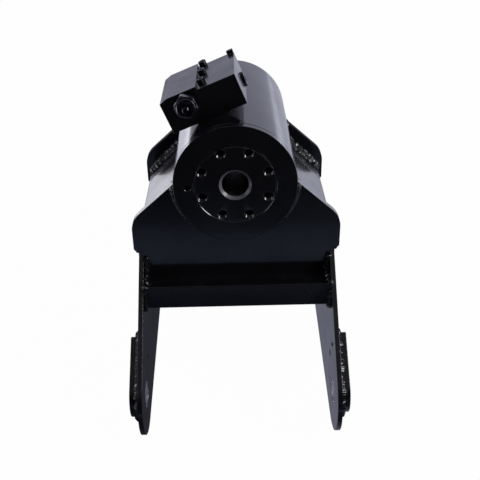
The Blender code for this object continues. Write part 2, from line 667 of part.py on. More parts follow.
def make_top_plate(parent):
    """The plate that lies on the side plates, between the saddles."""
    plate = box(
        (-BRACKET_HALF_WIDTH, FRONT_SADDLE_Y + SADDLE_THICKNESS + GAP, TOP_PLATE_Z - TOP_PLATE),
        (BRACKET_HALF_WIDTH, REAR_SADDLE_Y - GAP, TOP_PLATE_Z))
    add_object("top_plate", bevelled(plate, 0.6), parent, "black_paint")


def make_slope_plate(parent, side, sign):
    """A folded plate from the top plate's outer edge up to the housing, below the saddles' slope."""
    outer = BRACKET_HALF_WIDTH
    inner = outer - WEB
    rise = math.tan(math.radians(WEB_SLOPE))
    drop = WEB / math.cos(math.radians(WEB_SLOPE))
    foot = TOP_PLATE_Z + GAP
    top = WEB_BEND + (outer - WEB_REACH) * rise
    outline = [
        (sign * inner, foot), (sign * outer, foot), (sign * outer, WEB_BEND), (sign * WEB_REACH, top),
        (sign * WEB_REACH, top - drop), (sign * inner, WEB_BEND - drop + WEB * rise)]
    start = FRONT_SADDLE_Y + SADDLE_THICKNESS + GAP
    end = REAR_SADDLE_Y - GAP
    plate = add_object(f"{side}_slope_plate", extruded(outline, "Y", start, end), parent, "black_paint")
    cradle = rod(HOUSING_RADIUS + GAP, 0, HOUSING_LENGTH, facets=ROUND)
    cut(plate, add_object(f"cutter_{side}_web", cradle, parent), "cradle")


def side_outline():
    """The (y, z) outline of a side plate: its top edges, its sloping front edge, the pin eye and its lower edge."""
    front = math.radians(FRONT_EDGE_ANGLE)
    lower = math.radians(LOWER_EDGE_ANGLE)
    touch_y = EYE_Y - EYE_RADIUS * math.sin(front)
    touch_z = EYE_Z + EYE_RADIUS * math.cos(front)
    front_z = touch_z + (FRONT_SADDLE_Y - touch_y) * math.tan(front)
    low_y = EYE_Y + EYE_RADIUS * math.sin(lower)
    low_z = EYE_Z - EYE_RADIUS * math.cos(lower)
    rear_z = low_z + (SIDE_REAR_Y - low_y) * math.tan(lower)
    ledge = TOP_PLATE_Z - TOP_PLATE - GAP
    tab = SHOULDER_BOTTOM - GAP
    front_tab = FRONT_SADDLE_Y + SADDLE_THICKNESS
    points = [(FRONT_SADDLE_Y, tab), (FRONT_SADDLE_Y, front_z)]
    points += arc((EYE_Y, EYE_Z), EYE_RADIUS, 90 + FRONT_EDGE_ANGLE, 270 + LOWER_EDGE_ANGLE, 20)
    points += [(SIDE_REAR_Y, rear_z), (SIDE_REAR_Y, tab), (REAR_SADDLE_Y, tab), (REAR_SADDLE_Y, ledge),
               (front_tab, ledge), (front_tab, tab)]
    return points


def boss_outline():
    """The (y, z) outline of a pin boss: round about the pin, with a square far end."""
    along = Vector((math.cos(math.radians(BOSS_ANGLE)), math.sin(math.radians(BOSS_ANGLE))))
    across = Vector((-along.y, along.x))
    pin = Vector((EYE_Y, EYE_Z))
    far = pin + along * BOSS_LENGTH
    points = arc((EYE_Y, EYE_Z), BOSS_RADIUS, 90 + BOSS_ANGLE, 270 + BOSS_ANGLE, 16)
    return points + [tuple(far - across * BOSS_RADIUS), tuple(far + across * BOSS_RADIUS)]


def make_side(parent, side, sign):
    """One side plate and its pin boss, with the pin's hole and the keeper's hole through both."""
    inner = sign * (BRACKET_HALF_WIDTH - SIDE_PLATE)
    outer = sign * BRACKET_HALF_WIDTH
    boss_inner = sign * (BRACKET_HALF_WIDTH + GAP)
    boss_outer = sign * (BRACKET_HALF_WIDTH + GAP + BOSS_PLATE)
    plate = add_object(f"{side}_side_plate", extruded(side_outline(), "X", inner, outer), parent, "black_paint")
    boss = add_object(f"{side}_pin_boss", extruded(boss_outline(), "X", boss_inner, boss_outer), parent,
                      "black_paint")
    keeper = Vector((EYE_Y, EYE_Z)) + KEEPER_OFFSET * Vector(
        (math.cos(math.radians(BOSS_ANGLE)), math.sin(math.radians(BOSS_ANGLE))))
    along_x = Matrix.Rotation(-math.pi / 2, 4, "Z")
    for hole, radius, y, z in (("pin", PIN_HOLE, EYE_Y, EYE_Z), ("keeper", KEEPER_HOLE, *keeper)):
        near, far = BRACKET_HALF_WIDTH - SIDE_PLATE - OVER, BRACKET_HALF_WIDTH + GAP + BOSS_PLATE + OVER
        drill = moved(rod(radius, near, far, facets=PIN_ROUND),
                      Matrix.Translation((0, y, z)) @ Matrix.Diagonal((sign, 1, 1, 1)) @ along_x)
        cutter = add_object(f"cutter_{side}_{hole}", drill, parent)
        cut(plate, cutter, hole)
        cut(boss, cutter, hole)


def make_cross_tube(parent):
    """The square tube that ties the side plates together under the front saddle."""
    front = math.radians(FRONT_EDGE_ANGLE)
    top = SADDLE_BOTTOM - GAP
    touch_y = EYE_Y - EYE_RADIUS * math.sin(front)
    touch_z = EYE_Z + EYE_RADIUS * math.cos(front)
    front_y = touch_y + (top - touch_z) / math.tan(front) + CROSS_SET_BACK

    def square(inset):
        corner = max(CROSS_CORNER - inset, CROSS_WALL / 4)
        sides = (front_y + inset + corner, front_y + CROSS_DEPTH - inset - corner)
        levels = (top - CROSS_HEIGHT + inset + corner, top - inset - corner)
        centres = ((sides[1], levels[1]), (sides[0], levels[1]), (sides[0], levels[0]), (sides[1], levels[0]))
        return [point for i, centre in enumerate(centres) for point in arc(centre, corner, 90 * i, 90 * i + 90, 4)]

    half = BRACKET_HALF_WIDTH - SIDE_PLATE - GAP
    tube = add_object("cross_tube", extruded(square(0.0), "X", -half, half), parent, "black_paint")
    bore = extruded(square(CROSS_WALL), "X", -half - OVER, half + OVER)
    cut(tube, add_object("cutter_cross_tube", bore, parent), "bore")


def make_valve(parent):
    """The counterbalance valve block with its cartridge, adjuster, bolts, ports and locating tab."""
    turn = about_y(VALVE_TURN)
    bottom = PAD_HEIGHT + GAP
    high = PAD_HEIGHT + VALVE_HEIGHT
    low = high - VALVE_STEP
    back = VALVE_FRONT + VALVE_LENGTH
    outline = [
        (VALVE_LEFT, bottom), (VALVE_RIGHT, bottom), (VALVE_RIGHT, low), (0.0, low), (0.0, high),
        (VALVE_LEFT + VALVE_BEVEL_WIDTH, high), (VALVE_LEFT, high - VALVE_BEVEL_DROP),
    ]
    block = bevelled(extruded(outline, "Y", VALVE_FRONT, back), 0.5)
    block = add_object("valve_block", moved(block, turn), parent, "black_paint")
    for side, edge, sign in (("right", VALVE_RIGHT, 1), ("left", VALVE_LEFT, -1)):
        place = turn @ Matrix.Translation((edge, back - PORT_FROM_BACK, PAD_HEIGHT + PORT_HEIGHT))
        place = place @ Matrix.Rotation(sign * math.pi / 2, 4, "Z")
        port = hole_cutter(f"cutter_{side}_port", parent, PORT_RADIUS, PORT_DEPTH, PORT_CHAMFER, 0.0, 1, place)
        cut(block, port, f"{side} port")
    tab = box((VALVE_RIGHT - TAB_WIDTH, back - TAB_DEPTH, low + GAP), (VALVE_RIGHT, back, low + GAP + TAB_HEIGHT))
    add_object("valve_tab", moved(bevelled(tab, 0.5), turn), parent, "black_paint")
    make_valve_bolts(parent, block, turn, low + GAP)
    make_cartridge(parent, block, turn)


def make_valve_bolts(parent, block, turn, seat):
    """The socket-head screws in a row beside the step of the block."""
    top = seat + BOLT_HEAD_HEIGHT
    end = seat - BOLT_GRIP
    profile = [(0.0, end), (BOLT_SHANK, end), (BOLT_SHANK, seat), (BOLT_HEAD, seat),
               (BOLT_HEAD, top - SCREW_CHAMFER), (BOLT_HEAD - SCREW_CHAMFER, top), (0.0, top)]
    for i in range(BOLTS):
        y = VALVE_FRONT + BOLT_MARGIN + i * BOLT_PITCH
        place = turn @ Matrix.Translation((BOLT_ROW, y, 0)) @ UPRIGHT
        bolt = moved(spun(profile, closed=False, facets=SMALL_ROUND), place)
        bolt = add_object(f"valve_bolt_{i + 1}", bolt, parent, "zinc_dark")
        socket = moved(hexagon(BOLT_SOCKET, top - BOLT_SOCKET_DEPTH, top + OVER), place)
        cut(bolt, add_object(f"cutter_bolt_socket_{i + 1}", socket, parent), "socket")
        hole = moved(rod(BOLT_SHANK + GAP, end - GAP, seat + OVER), place)
        cut(block, add_object(f"cutter_bolt_hole_{i + 1}", hole, parent), f"bolt hole {i + 1}")


def make_cartridge(parent, block, turn):
    """The cartridge valve in the block's front face, with its lock nut and adjusting screw."""
    place = turn @ Matrix.Translation((CARTRIDGE_U, 0, PAD_HEIGHT + CARTRIDGE_HEIGHT))
    face = VALVE_FRONT
    bottom = face + CARTRIDGE_DEPTH
    cavity = moved(rod(CARTRIDGE_BODY + GAP, bottom, face - OVER), place)
    cut(block, add_object("cutter_cartridge", cavity, parent), "cartridge cavity")
    valve = moved(rod(CARTRIDGE_BODY, bottom - GAP, face - GAP), place)
    valve = add_object("valve_cartridge", valve, parent, "steel")
    hex_end = face - GAP - CARTRIDGE_LENGTH
    head = moved(hexagon(CARTRIDGE_HEX, face - GAP, hex_end, NUT_CHAMFER), place)
    join = valve.modifiers.new("hexagon", "BOOLEAN")
    join.operation = "UNION"
    join.object = add_object("cutter_cartridge_head", head, parent)
    nut_start = hex_end - GAP
    nut_end = nut_start - LOCK_NUT_LENGTH
    screw_start = face + ADJUSTER_REACH
    screw_end = nut_end - ADJUSTER_PROUD
    thread = rod(ADJUSTER_RADIUS + GAP, screw_start + GAP, screw_end - OVER)
    thread = add_object("cutter_adjuster", moved(thread, place), parent)
    nut = moved(hexagon(LOCK_NUT_HEX, nut_start, nut_end, NUT_CHAMFER), place)
    nut = add_object("valve_lock_nut", nut, parent, "zinc_dark")
    cut(valve, thread, "adjuster thread")
    cut(nut, thread, "thread")
    screw = moved(rod(ADJUSTER_RADIUS, screw_start, screw_end, SCREW_CHAMFER), place)
    screw = add_object("valve_adjuster", screw, parent, "zinc_dark")
    socket = moved(hexagon(ADJUSTER_SOCKET, screw_end + ADJUSTER_SOCKET_DEPTH, screw_end - OVER), place)
    cut(screw, add_object("cutter_adjuster_socket", socket, parent), "socket")


def stand_on_floor(stand):
    """Tilts the assembly onto its lower edges, with the origin under the middle of its box."""
    stand.rotation_euler = (-math.radians(LOWER_EDGE_ANGLE), 0, 0)
    bpy.context.view_layer.update()
    graph = bpy.context.evaluated_depsgraph_get()
    corners = []
    for obj in bpy.data.objects:
        if obj.type != "MESH" or obj.hide_render:
            continue
        mesh = obj.evaluated_get(graph).to_mesh()
        corners += [obj.matrix_world @ vert.co for vert in mesh.vertices]
        obj.evaluated_get(graph).to_mesh_clear()
    low = Vector([min(corner[i] for corner in corners) for i in range(3)])
    high = Vector([max(corner[i] for corner in corners) for i in range(3)])
    stand.location = (-(low.x + high.x) / 2, -(low.y + high.y) / 2, -low.z)


def add_empty(name, parent=None):
    """An empty that carries pieces which move together."""
    empty = bpy.data.objects.new(name, None)
    bpy.context.scene.collection.objects.link(empty)
    empty.parent = parent
    return empty


def main():
    """Builds the rotator."""
    clear_scene()
    stand = add_empty("stand")
    shaft_axis = add_empty("shaft_axis", stand)
    piston_slide = add_empty("piston_slide", stand)
    piston_turn = add_empty("piston_turn", piston_slide)
    make_seam_screw(stand)
    make_housing(stand)
    make_gland(stand)
    make_front_running_gear(stand)
    shaft = make_shaft(shaft_axis)
    make_end_cap(shaft_axis, shaft)
    make_rear_running_gear(stand, shaft_axis)
    make_ring_gear(stand)
    make_piston_seal(piston_slide)
    make_piston_sleeve(piston_turn)
    make_saddles(stand)
    make_top_plate(stand)
    make_slope_plate(stand, "left", -1)
    make_slope_plate(stand, "right", 1)
    for side, sign in (("left", -1), ("right", 1)):
        make_side(stand, side, sign)
    make_cross_tube(stand)
    make_valve(stand)
    stand_on_floor(stand)


main()
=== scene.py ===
"""Looks of the platform rotator: a helical rotary actuator in a welded clevis bracket, its valve on top.

Pieces are modelled in millimetres in the actuator's own frame, as on its drawing: the shaft's axis is Y,
the front face is at y = 0, +X is to the right and +Z is up. settle() then takes a piece to its place in
the CAD's frame.
"""

import json
import logging
import math
from collections.abc import Callable, Iterator, Sequence
from contextlib import contextmanager
from dataclasses import dataclass, field, replace
from enum import Enum

import bmesh
import bpy
from mathutils import Matrix, Vector, noise


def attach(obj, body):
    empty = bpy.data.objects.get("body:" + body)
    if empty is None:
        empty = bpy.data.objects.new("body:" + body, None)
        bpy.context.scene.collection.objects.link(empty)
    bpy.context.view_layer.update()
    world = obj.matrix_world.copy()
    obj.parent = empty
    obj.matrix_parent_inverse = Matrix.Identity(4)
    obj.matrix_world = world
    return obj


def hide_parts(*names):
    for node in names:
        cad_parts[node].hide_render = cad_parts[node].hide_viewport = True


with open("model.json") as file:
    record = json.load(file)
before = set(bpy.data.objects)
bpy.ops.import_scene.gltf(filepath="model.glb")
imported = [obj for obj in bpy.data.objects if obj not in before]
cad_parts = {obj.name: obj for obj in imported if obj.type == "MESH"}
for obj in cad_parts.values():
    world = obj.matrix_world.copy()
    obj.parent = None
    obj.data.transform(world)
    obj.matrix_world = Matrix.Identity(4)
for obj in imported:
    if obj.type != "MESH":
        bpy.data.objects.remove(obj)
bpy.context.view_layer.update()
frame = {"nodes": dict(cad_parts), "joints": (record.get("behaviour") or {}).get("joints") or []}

MM = 0.001
OVER = 1.0                  # how far a cutter reaches past the surface that it cuts
GAP = 0.3                   # what the CAD leaves open between neighbours
MERGE = 0.0005              # vertices closer than this become one
RIDGE = 0.42                # half the foot of a thread's ridge, as a share of the pitch
FINE = 128                  # facets of the housing and the plates' large arcs
MEDIUM = 48                 # facets of a hole or a nut
SMALL = 24                  # facets of a screw
SMOOTH_ANGLE = math.radians(32)

Piece = bpy.types.Object
Socket = bpy.types.NodeSocket
Point = Sequence[float]
Span = tuple[float, float]
Triple = tuple[float, float, float]
Outline = list[Span]
Run = tuple[list[Vector], list[Vector], list[float]]       # points, crowns and distances along a seam
Colour = tuple[float, float, float, float]
Test = Callable[[object], bool]

WHITE: Colour = (1.0, 1.0, 1.0, 1.0)
DARK: Colour = (0.0, 0.0, 0.0, 1.0)

log = logging.getLogger("platform_rotator")


class Side(Enum):
    """A side of the bracket, with its direction along X."""

    LEFT = -1
    RIGHT = 1

    @property
    def word(self) -> str:
        """The side's name as the CAD nodes have it."""
        return self.name.lower()


class Pick(Enum):
    """What a selection in edit mode is made of."""

    VERTS = "VERT"
    EDGES = "EDGE"
    FACES = "FACE"


# Placing


def actuator_frame() -> Matrix:
    """Reads where the actuator's millimetre frame is in the CAD's frame from the shaft's joint.

    Returns:
        The matrix from the first to the second.
    """
    turn = next(joint for joint in frame["joints"] if joint["name"] == "shaft_turn")
    across = Vector((1.0, 0.0, 0.0))
    along = Vector(turn["axis"]).normalized()
    up = across.cross(along)
    axes = Matrix((across, along, up)).transposed().to_4x4()
    return Matrix.Translation(Vector(turn["pos_m"])) @ axes @ Matrix.Scale(MM, 4)


STAND = actuator_frame()
UPRIGHT = Matrix.Rotation(math.pi / 2, 4, "X")          # stands what runs along +Y on end
SIDEWAYS = Matrix.Rotation(-math.pi / 2, 4, "Z")        # lays what runs along +Y along +X


def about_shaft(degrees: float) -> Matrix:
    """A turn about the shaft's axis that takes +X towards +Z."""
    return Matrix.Rotation(-math.radians(degrees), 4, "Y")


def shifted(x: float, y: float, z: float) -> Matrix:
    """A move by that much."""
    return Matrix.Translation((x, y, z))


# Modelling by hand


def deselect() -> None:
    """Leaves nothing selected, in object mode."""
    if bpy.context.object and bpy.context.object.mode != "OBJECT":
        bpy.ops.object.mode_set(mode="OBJECT")
    bpy.ops.object.select_all(action="DESELECT")


def take(obj: Piece) -> None:
    """Selects that object alone and makes it active."""
    deselect()
    obj.select_set(True)
    bpy.context.view_layer.objects.active = obj


def named(obj: Piece, name: str) -> Piece:
    """Gives an object and its mesh one name."""
    obj.name = obj.data.name = name
    return obj


def discard(*tools: Piece) -> None:
    """Removes tools that have done their work."""
    for tool in tools:
        bpy.data.objects.remove(tool, do_unlink=True)


@contextmanager
def shaping(obj: Piece) -> Iterator[None]:
    """Keeps an object in edit mode, with everything selected at first.

    Args:
        obj: The object to shape.
    """
    take(obj)
    bpy.ops.object.mode_set(mode="EDIT")
    bpy.ops.mesh.select_mode(type=Pick.VERTS.value)
    bpy.ops.mesh.select_all(action="SELECT")
    try:
        yield
    finally:
        bpy.ops.object.mode_set(mode="OBJECT")


def select(obj: Piece, pick: Pick, test: Test) -> None:
    """Selects the edges or the faces of an object in edit mode that pass a test.

    Args:
        obj: The object in edit mode.
        pick: Which of the two.
        test: Says whether an element is wanted.
    """
    bpy.ops.mesh.select_mode(type=pick.value)
    bpy.ops.mesh.select_all(action="DESELECT")
    mesh = bmesh.from_edit_mesh(obj.data)
    for element in mesh.edges if pick is Pick.EDGES else mesh.faces:
        if test(element):
            element.select_set(True)
    mesh.select_flush_mode()
    bmesh.update_edit_mesh(obj.data)


def tidy_normals(obj: Piece) -> Piece:
    """Merges doubled vertices and turns every face outwards.

    Args:
        obj: A closed mesh.

    Returns:
        The same object.
    """
    with shaping(obj):
        bpy.ops.mesh.remove_doubles(threshold=MERGE)
        bpy.ops.mesh.normals_make_consistent(inside=False)
    return obj


def chain(name: str, points: Sequence[Point]) -> Piece:
    """Draws a chain of edges: one vertex is put at the first point and extruded to each of the others.

    Args:
        name: The new object's name.
        points: The chain's points in order.

    Returns:
        The object, with a chain of edges and no face.
    """
    deselect()
    bpy.ops.mesh.primitive_plane_add(size=1.0, location=(0.0, 0.0, 0.0))
    obj = named(bpy.context.object, name)
    with shaping(obj):
        bpy.ops.mesh.merge(type="CENTER")
        bpy.ops.transform.translate(value=points[0])
        for before, after in zip(points, points[1:]):
            step = Vector(after) - Vector(before)
            bpy.ops.mesh.extrude_region_move(TRANSFORM_OT_translate={"value": step})
    return obj


def turned(name: str, profile: Outline, steps: int = FINE, closed: bool = True) -> Piece:
    """Turns a profile about the Y axis, as on a lathe.

    Args:
        name: The new object's name.
        profile: Its (radius, y) points.
        steps: How many facets it gets round the axis.
        closed: Whether the last point joins the first; otherwise the profile starts and ends on the axis.

    Returns:
        The turned solid.
    """
    points = [(radius, y, 0.0) for radius, y in profile]
    if closed:
        points.append(points[0])
    obj = chain(name, points)
    with shaping(obj):
        bpy.ops.mesh.spin(steps=steps, angle=math.tau, center=(0, 0, 0), axis=(0, 1, 0))
    return tidy_normals(obj)


def plate(name: str, outline: Outline, axis: str, start: float, end: float) -> Piece:
    """Cuts a plate to an outline: draws it, fills it and extrudes it.

    Args:
        name: The new object's name.
        outline: Its (x, z) points if its thickness is along Y, or its (y, z) points if it is along X.
        axis: The axis of its thickness, X or Y.
        start: Where it starts on that axis.
        end: Where it ends.

    Returns:
        The plate.
    """
    if axis == "Y":
        points = [(a, start, b) for a, b in outline]
        thickness = (0.0, end - start, 0.0)
    else:
        points = [(start, a, b) for a, b in outline]
        thickness = (end - start, 0.0, 0.0)
    obj = chain(name, [*points, points[0]])
    with shaping(obj):
        bpy.ops.mesh.remove_doubles(threshold=MERGE)
        bpy.ops.mesh.edge_face_add()
        bpy.ops.mesh.select_all(action="SELECT")
        bpy.ops.mesh.extrude_region_move(TRANSFORM_OT_translate={"value": thickness})
    return tidy_normals(obj)


def freeze() -> None:
    """Applies the active object's place, turn and size to its mesh."""
    bpy.ops.object.transform_apply(location=True, rotation=True, scale=True)


def block(name: str, low: Point, high: Point) -> Piece:
    """A block between two corners, as a start for shaping.

    Args:
        name: The new object's name.
        low: Its lowest corner.
        high: Its highest corner.

    Returns:
        The block.
    """
    size = Vector(high) - Vector(low)
    deselect()
    bpy.ops.mesh.primitive_cube_add(size=1.0, location=(Vector(high) + Vector(low)) / 2, scale=size)
    obj = named(bpy.context.object, name)
    freeze()
    return obj


def bar(name: str, radius: float, start: float, end: float, sides: int = MEDIUM) -> Piece:
    """A round or many-sided bar along Y, as a start for shaping or as a drill.

    Args:
        name: The new object's name.
        radius: The radius of its corners.
        start: Where it starts along Y.
        end: Where it ends.
        sides: How many sides it has.

    Returns:
        The bar.
    """
    deselect()
    bpy.ops.mesh.primitive_cylinder_add(
        vertices=sides, radius=radius, depth=abs(end - start), location=(0.0, (start + end) / 2, 0.0),
        rotation=(math.pi / 2, 0.0, 0.0))
    obj = named(bpy.context.object, name)
    freeze()
    return obj


def hex_bar(name: str, half: float, start: float, end: float) -> Piece:
    """A hexagon bar along Y, given half its width across flats."""
    return bar(name, half / math.cos(math.pi / 6), start, end, sides=6)


def placed(obj: Piece, matrix: Matrix) -> Piece:
    """Moves an object by a matrix and applies it to the mesh.

    Args:
        obj: The object, which sits at the origin.
        matrix: The move, turn or mirror.

    Returns:
        The same object.
    """
    take(obj)
    obj.matrix_world = matrix
    freeze()
    if matrix.determinant() < 0:
        tidy_normals(obj)
    return obj


def copied(obj: Piece, name: str, matrix: Matrix) -> Piece:
    """A copy of a piece with its own mesh, moved by a matrix.

    Args:
        obj: The piece to copy.
        name: The copy's name.
        matrix: Where the copy goes.

    Returns:
        The copy.
    """
    take(obj)
    bpy.ops.object.duplicate(linked=False)
    return placed(named(bpy.context.object, name), matrix)


def apply_modifier(obj: Piece, modifier: bpy.types.Modifier) -> None:
    """Applies one modifier to the object's mesh."""
    take(obj)
    bpy.ops.object.modifier_apply(modifier=modifier.name)


def cut(obj: Piece, *cutters: Piece, keep: bool = False) -> Piece:
    """Cuts an object with others.

    Args:
        obj: The object to cut.
        cutters: The tools, each a closed mesh.
        keep: Whether the tools are kept for another cut.

    Returns:
        The same object.
    """
    for cutter in cutters:
        modifier = obj.modifiers.new("cut", "BOOLEAN")
        modifier.operation = "DIFFERENCE"
        modifier.solver = "EXACT"
        modifier.object = cutter
        apply_modifier(obj, modifier)
        if not keep:
            discard(cutter)
    return obj


def broken_edges(obj: Piece, width: float, segments: int = 2, angle: float = 30.0) -> Piece:
    """Breaks the sharp edges of a piece with a small rounded bevel.

    Args:
        obj: The piece.
        width: The bevel's width.
        segments: How many facets it gets.
        angle: Edges sharper than this, in degrees, are bevelled.

    Returns:
        The same object.
    """
    modifier = obj.modifiers.new("broken edges", "BEVEL")
    modifier.width = width
    modifier.segments = segments
    modifier.limit_method = "ANGLE"
    modifier.angle_limit = math.radians(angle)
    modifier.use_clamp_overlap = True
    apply_modifier(obj, modifier)
    return obj


def joined(name: str, first: Piece, *others: Piece) -> Piece:
    """Joins objects into the first.

    Args:
        name: The joined object's name.
        first: The object that the others go into.
        others: The other objects.

    Returns:
        The joined object.
    """
    take(first)
    for other in others:
        other.select_set(True)
    if others:
        bpy.ops.object.join()
    return named(first, name)


def arc(centre: Point, radius: float, start: float, end: float, steps: int) -> Outline:
    """Points of an arc.

    Args:
        centre: Its centre.
        radius: Its radius.
        start: The angle of its first point, in degrees.
        end: The angle of its last point.
        steps: How many chords it has.

    Returns:
        The points.
    """
    turns = [math.radians(start + (end - start) * i / steps) for i in range(steps + 1)]
    return [(centre[0] + radius * math.cos(t), centre[1] + radius * math.sin(t)) for t in turns]


def thread_ridge(name: str, root: float, crest: float, pitch: float, turns: int, start: float) -> Piece:
    """A helical ridge about the Y axis: a triangle that the Screw modifier winds.

    Args:
        name: The new object's name.
        root: The radius of its foot, just inside the metal that carries it.
        crest: The radius of its sharp edge.
        pitch: The distance between turns.
        turns: How many turns it has.
        start: Where it starts along Y.

    Returns:
        The ridge, closed at both ends.
    """
    half = pitch * RIDGE
    foot = (root, start, 0.0)
    obj = chain(name, [foot, (crest, start + half, 0.0), (root, start + 2 * half, 0.0), foot])
    with shaping(obj):
        bpy.ops.mesh.remove_doubles(threshold=MERGE)
    winding = obj.modifiers.new("winding", "SCREW")
    winding.axis = "Y"
    winding.angle = math.tau
    winding.screw_offset = pitch
    winding.iterations = turns
    winding.steps = winding.render_steps = SMALL
    apply_modifier(obj, winding)
    with shaping(obj):
        bpy.ops.mesh.fill_holes(sides=4)
    return tidy_normals(obj)


# Node trees


class Sheet:
    """A node tree that is drawn with short calls."""

    def __init__(self, tree: bpy.types.NodeTree) -> None:
        """Takes the tree to draw in."""
        self.tree = tree

    def node(self, kind: str, **settings: object) -> bpy.types.Node:
        """Adds a node.

        Args:
            kind: The node's Blender type.
            settings: Properties of the node.

        Returns:
            The node.
        """
        made = self.tree.nodes.new(kind)
        for key, value in settings.items():
            setattr(made, key, value)
        return made

    def feed(self, socket: Socket, value: object) -> None:
        """Links a socket to another one, or gives it a value.

        Args:
            socket: The input.
            value: An output socket or a plain value.
        """
        if isinstance(value, Socket):
            self.tree.links.new(value, socket)
        else:
            socket.default_value = value

    def math(self, operation: str, first: object, second: object = 0.0) -> Socket:
        """A Math node.

        Args:
            operation: What it does.
            first: Its first value or socket.
            second: Its second one.

        Returns:
            Its output.
        """
        made = self.node("ShaderNodeMath", operation=operation)
        self.feed(made.inputs[0], first)
        self.feed(made.inputs[1], second)
        return made.outputs[0]

    def noise(self, vector: object, scale: object, detail: float = 2.0, roughness: float = 0.5) -> Socket:
        """A Noise Texture.

        Args:
            vector: Where it is read.
            scale: How many waves it has in a metre.
            detail: How many octaves it adds.
            roughness: How strong they are.

        Returns:
            Its value, about 0.5 on average.
        """
        made = self.node("ShaderNodeTexNoise")
        self.feed(made.inputs["Vector"], vector)
        self.feed(made.inputs["Scale"], scale)
        made.inputs["Detail"].default_value = detail
        made.inputs["Roughness"].default_value = roughness
        return made.outputs[0]

    def spread(
        self, value: object, low: float, high: float, to_low: object = 0.0, to_high: object = 1.0
    ) -> Socket:
        """A smooth Map Range.

        Args:
            value: What it maps.
            low: The value that becomes to_low.
            high: The value that becomes to_high.
            to_low: The lowest result.
            to_high: The highest result.

        Returns:
            The mapped value.
        """
        made = self.node("ShaderNodeMapRange", interpolation_type="SMOOTHSTEP")
        for socket, given in zip(made.inputs, (value, low, high, to_low, to_high)):
            self.feed(socket, given)
        return made.outputs[0]

    def tint(self, share: object, first: object, second: object) -> Socket:
        """A colour Mix.

        Args:
            share: How much of the second colour it takes.
            first: The first colour.
            second: The second colour.

        Returns:
            The mixed colour.
        """
        made = self.node("ShaderNodeMix", data_type="RGBA")
        self.feed(made.inputs[0], share)
        self.feed(made.inputs[6], first)
        self.feed(made.inputs[7], second)
        return made.outputs[2]

    def bump(self, height: object, distance: float, normal: object = None) -> Socket:
        """A Bump node.

        Args:
            height: The height, from 0 to 1.
            distance: What a height of 1 stands for, in metres.
            normal: The normal that it starts from, if another bump comes first.

        Returns:
            The bumped normal.
        """
        made = self.node("ShaderNodeBump")
        self.feed(made.inputs["Height"], height)
        made.inputs["Distance"].default_value = distance
        if normal is not None:
            self.feed(made.inputs["Normal"], normal)
        return made.outputs[0]

    def group(self, name: str, **values: object) -> bpy.types.Node:
        """Places one of the shared effects.

        Args:
            name: The effect's name.
            values: Its inputs, with underscores for spaces.

        Returns:
            The group node.
        """
        made = self.node("ShaderNodeGroup")
        made.node_tree = bpy.data.node_groups[name]
        for key, value in values.items():
            self.feed(made.inputs[key.replace("_", " ")], value)
        return made

    def split(self, vector: object) -> bpy.types.bpy_prop_collection:
        """The X, Y and Z of a vector, as outputs."""
        made = self.node("ShaderNodeSeparateXYZ")
        self.feed(made.inputs[0], vector)
        return made.outputs

    def lie_on_actuator(self) -> Socket:
        """Object coordinates turned to the actuator's frame, in metres: Y runs along the shaft.

        Returns:
            Their output.
        """
        made = self.node("ShaderNodeMapping", vector_type="TEXTURE")
        made.inputs["Location"].default_value = STAND.to_translation()
        made.inputs["Rotation"].default_value = STAND.to_euler()
        self.feed(made.inputs["Vector"], self.node("ShaderNodeTexCoord").outputs["Object"])
        return made.outputs[0]


def blank(owner: bpy.types.Material | bpy.types.World) -> Sheet:
    """The emptied node tree of a new material or world."""
    owner.use_nodes = True
    owner.node_tree.nodes.clear()
    return Sheet(owner.node_tree)


def new_group(name: str, inputs: dict[str, float | None], outputs: Sequence[str]) -> tuple[Sheet, dict, dict]:
    """Starts a node group for a shared effect.

    Args:
        name: The group's name.
        inputs: Its inputs with their defaults; None makes a vector input.
        outputs: Its float outputs.

    Returns:
        Its sheet, its input sockets and its output sockets by name.
    """
    tree = bpy.data.node_groups.new(name, "ShaderNodeTree")
    for key, default in inputs.items():
        kind = "NodeSocketVector" if default is None else "NodeSocketFloat"
        socket = tree.interface.new_socket(name=key, in_out="INPUT", socket_type=kind)
        if default is not None:
            socket.default_value = default
    for key in outputs:
        tree.interface.new_socket(name=key, in_out="OUTPUT", socket_type="NodeSocketFloat")
    sheet = Sheet(tree)
    entry = sheet.node("NodeGroupInput")
    leave = sheet.node("NodeGroupOutput")
    return sheet, {key: entry.outputs[key] for key in inputs}, {key: leave.inputs[key] for key in outputs}


def make_paint_film() -> None:
    """Sprayed paint: orange peel, slow waves of the film, and patches that are a little duller."""
    inputs = {"Vector": None, "Peel": 620.0, "Roughness": 0.2}
    sheet, given, out = new_group("paint film", inputs, ("Height", "Roughness"))
    peel = sheet.noise(given["Vector"], given["Peel"], 1.0)
    waves = sheet.noise(given["Vector"], 38.0, 2.0)
    grit = sheet.spread(sheet.noise(given["Vector"], 950.0, 0.0), 0.74, 0.8)
    height = sheet.math("ADD", sheet.math("MULTIPLY", peel, 0.35), sheet.math("MULTIPLY", waves, 2.0))
    sheet.feed(out["Height"], sheet.math("ADD", height, sheet.math("MULTIPLY", grit, 0.2)))
    patches = sheet.spread(sheet.noise(given["Vector"], 24.0, 4.0, 0.6), 0.3, 0.75, 0.82, 1.3)
    sheet.feed(out["Roughness"], sheet.math("MULTIPLY", given["Roughness"], patches))


